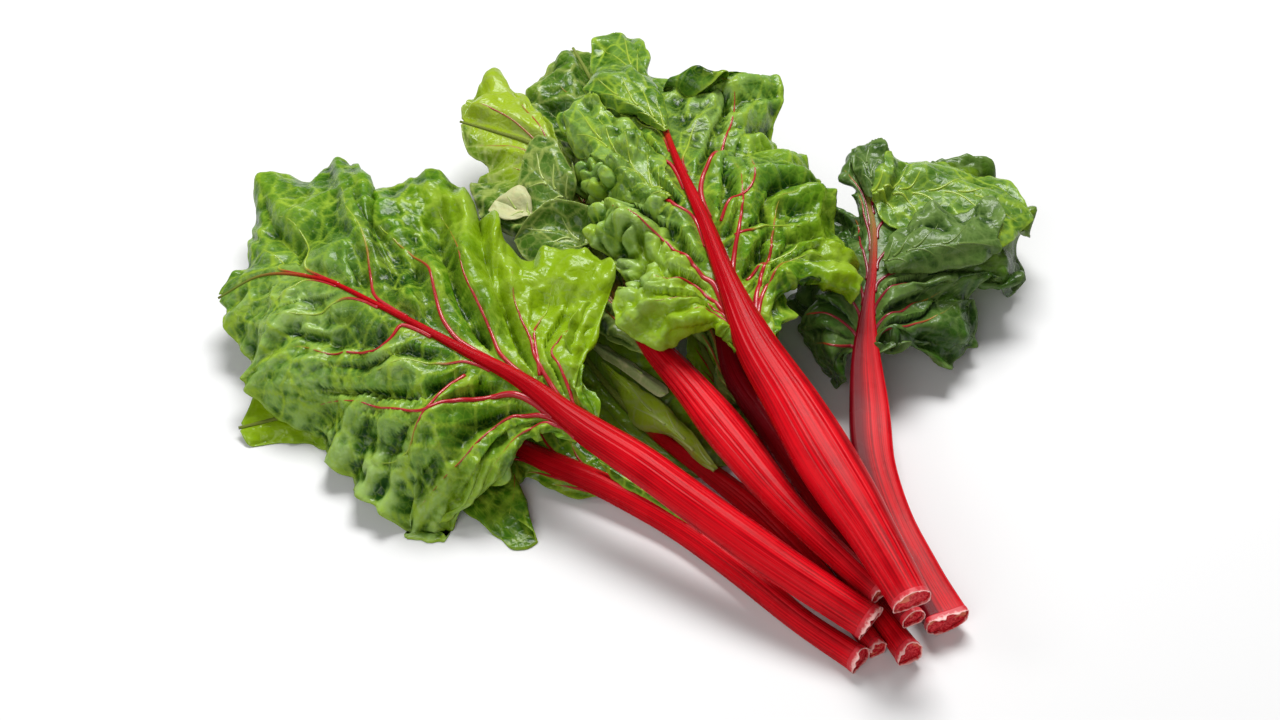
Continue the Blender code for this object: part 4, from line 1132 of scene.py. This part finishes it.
def floor_and_light():
    """A plain white table, a big soft light above and behind to the left, and a weak fill."""
    shape = bmesh.new()
    bmesh.ops.create_grid(shape, x_segments=8, y_segments=8, size=4.0)
    mesh = bpy.data.meshes.new("table_top")
    shape.to_mesh(mesh)
    shape.free()
    material, start, shader = new_material("white_table")
    place = start.objects_place()
    cloud = start.noise(place, 2.0)
    join(cloud.blend((0.76, 0.76, 0.76), (0.77, 0.77, 0.77)), shader, "Base Color")
    shader.inputs["Roughness"].default_value = 0.7
    shader.inputs["Specular IOR Level"].default_value = 0.2
    new_object("table_top", mesh, [material])

    def lamp(name, place, aim, size, power):
        data = bpy.data.lights.new(name, "AREA")
        data.shape, data.size, data.size_y, data.energy = "RECTANGLE", size[0], size[1], power
        thing = bpy.data.objects.new(name, data)
        bpy.context.scene.collection.objects.link(thing)
        thing.location = place
        toward = Vector(aim) - Vector(place)
        thing.rotation_euler = toward.to_track_quat("-Z", "Y").to_euler()

    lamp("overhead", (0.20, 1.30, 2.05), (0, 0, 0), (1.4, 0.9), 75)
    lamp("left_window", (-1.3, -0.2, 1.1), (0, 0, 0), (0.5, 0.5), 4)
    lamp("front_fill", (-0.5, -1.5, 1.3), (0, 0, 0), (1.4, 1.0), 13)
    world = bpy.data.worlds.new("studio")
    world.use_nodes = True
    world.node_tree.nodes["Background"].inputs["Color"].default_value = (1, 1, 1, 1)
    world.node_tree.nodes["Background"].inputs["Strength"].default_value = 0.14
    bpy.context.scene.world = world


def camera():
    """A long lens that looks down on the bunch from the side of the cut ends."""
    data = bpy.data.cameras.new("camera")
    data.lens, data.sensor_width = 70.0, 36.0
    thing = bpy.data.objects.new("camera", data)
    bpy.context.scene.collection.objects.link(thing)
    tilt, away = math.radians(45), 1.3
    thing.location = (0.004, -0.058 - away * math.cos(tilt), 0.045 + away * math.sin(tilt))
    thing.rotation_euler = (tilt, 0, 0)
    bpy.context.scene.camera = thing
    bpy.context.scene.view_settings.view_transform = "Standard"


BOTTOM_UP = ("front", "low", "inner", "back", "right", "middle", "left", "top")
RED, CRIMSON, WINE = (0.68, 0.003, 0.010), (0.26, 0.001, 0.004), (0.10, 0.001, 0.005)
PINK, SEAM = (0.86, 0.10, 0.12), (0.36, 0.54, 0.04)
DARK_SIDED = ("right",)  # leaves whose stalk is wine down one side, partly its own colour and partly painted shade on that wall
TUCKED = ("strap", "frill", "pale_rib")  # lobes that lie under other leaves
FINISHES = {"left": "leaf_green", "top": "leaf_green", "front": "leaf_green", "inner": "leaf_green",
            "right": "leaf_dark", "low": "leaf_dark", "middle": "leaf_pale", "back": "leaf_pale"}


def leaf_materials():
    """Each leaf finish as (sheet, veins); a cream lobe has the pale leaf's veins."""
    sheets = {
        "leaf_green": leaf_material("leaf_green", (0.006, 0.046, 0.002), (0.088, 0.262, 0.004),
                                    (0.28, 0.46, 0.003), SEAM, (0.24, 0.44, 0.008)),
        "leaf_dark": leaf_material("leaf_dark", (0.005, 0.026, 0.004), (0.045, 0.132, 0.008),
                                   (0.18, 0.31, 0.005), (0.16, 0.26, 0.06), (0.09, 0.20, 0.01), 0.30),
        "leaf_pale": leaf_material("leaf_pale", (0.012, 0.060, 0.004), (0.095, 0.23, 0.010),
                                   (0.38, 0.54, 0.015), (0.42, 0.52, 0.12), (0.26, 0.42, 0.01)),
        "leaf_cream": leaf_material("leaf_underside", (0.26, 0.36, 0.10), (0.42, 0.50, 0.20),
                                    (0.66, 0.66, 0.36), (0.70, 0.66, 0.34), (0.5, 0.55, 0.25), 0.5),
    }
    veins = {
        "leaf_green": vein_material("veins_red", (0.42, 0.004, 0.012), (0.30, 0.42, 0.025)),
        "leaf_dark": vein_material("veins_wine", (0.22, 0.004, 0.016), (0.12, 0.20, 0.03)),
        "leaf_pale": vein_material("veins_pale", (0.34, 0.13, 0.03), (0.36, 0.46, 0.10)),
    }
    veins["leaf_cream"] = veins["leaf_pale"]
    return {finish: (sheets[finish], veins[finish]) for finish in sheets}


def build():
    """Lay the leaves from the lowest up, and then the lobes that fold over them."""
    greens = leaf_materials()
    reds = {
        "stalk_red": stalk_material("stalk_red", CRIMSON, RED, PINK, (0.16, 0.20, 0.03)),
        "stalk_purple": stalk_material("stalk_purple", WINE, CRIMSON, (0.55, 0.12, 0.14),
                                       (0.20, 0.25, 0.05)),
    }
    torn = torn_skin_material()
    leaves = {leaf.name: leaf for leaf in LEAVES}
    pile = Pile()
    for number, name in enumerate(BOTTOM_UP):
        leaf, lay, slot = leaves[name], LAYS[name], FINISHES[name]
        sheet_finish, vein_finish = greens[slot]
        surface, routes, looks = crinkle(leaf, lay)
        surface = pile.clear(surface, LEAF_GAP, LEAF_LIFT)
        pile.lay_on(surface)
        # Yellow-green share (partly painted glow), dark share (painted shade in hollows, plus darker patches)
        # and silvery share (painted sheen).
        looks["young"] = lay.young + region(leaf, "young", surface)
        looks["dark"] = np.clip(region(leaf, "dark", surface), 0.0, 1.0)
        looks["bloom"] = np.clip(region(leaf, "bloom", surface), 0.0, 1.0)
        red = "stalk_purple" if name == "back" else "stalk_red"
        blade = sheet_object("blade_sheet_" + name, surface, looks, sheet_finish)
        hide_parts("blade_" + name)
        veins = vein_object(leaf, surface, routes, vein_finish)
        stalk = stalk_object(leaf, number * 11, lay.fade, reds[red])
        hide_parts("stalk_" + name)
        rim = torn_rim(leaf, number * 11, torn)
        for piece, finish in ((blade, slot), (veins, slot), (stalk, red), (rim, red)):
            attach(piece, "root")
    for leaf in FOLDS:
        finish, bloom, lay = FOLD_LAYS[leaf.name]
        sheet_finish, vein_finish = greens[finish]
        surface, routes, looks = crinkle(leaf, lay)
        if leaf.name not in TUCKED:
            surface = pile.clear(surface, LOBE_GAP, LOBE_LIFT)
            pile.lay_on(surface)
        # Lobes get an even yellow-green share, partly painted glow, and an even painted sheen.
        looks["young"] = lay.young + 0 * looks["rim"]
        looks["dark"] = 0 * looks["rim"]
        looks["bloom"] = bloom + 0 * looks["rim"]
        folded = sheet_object("lobe_" + leaf.name, surface, looks, sheet_finish)
        veins = vein_object(leaf, surface, routes, vein_finish)
        for piece in (folded, veins):
            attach(piece, "root")
            "leaf_pale" if finish == "leaf_cream" else finish


build()
floor_and_light()
camera()
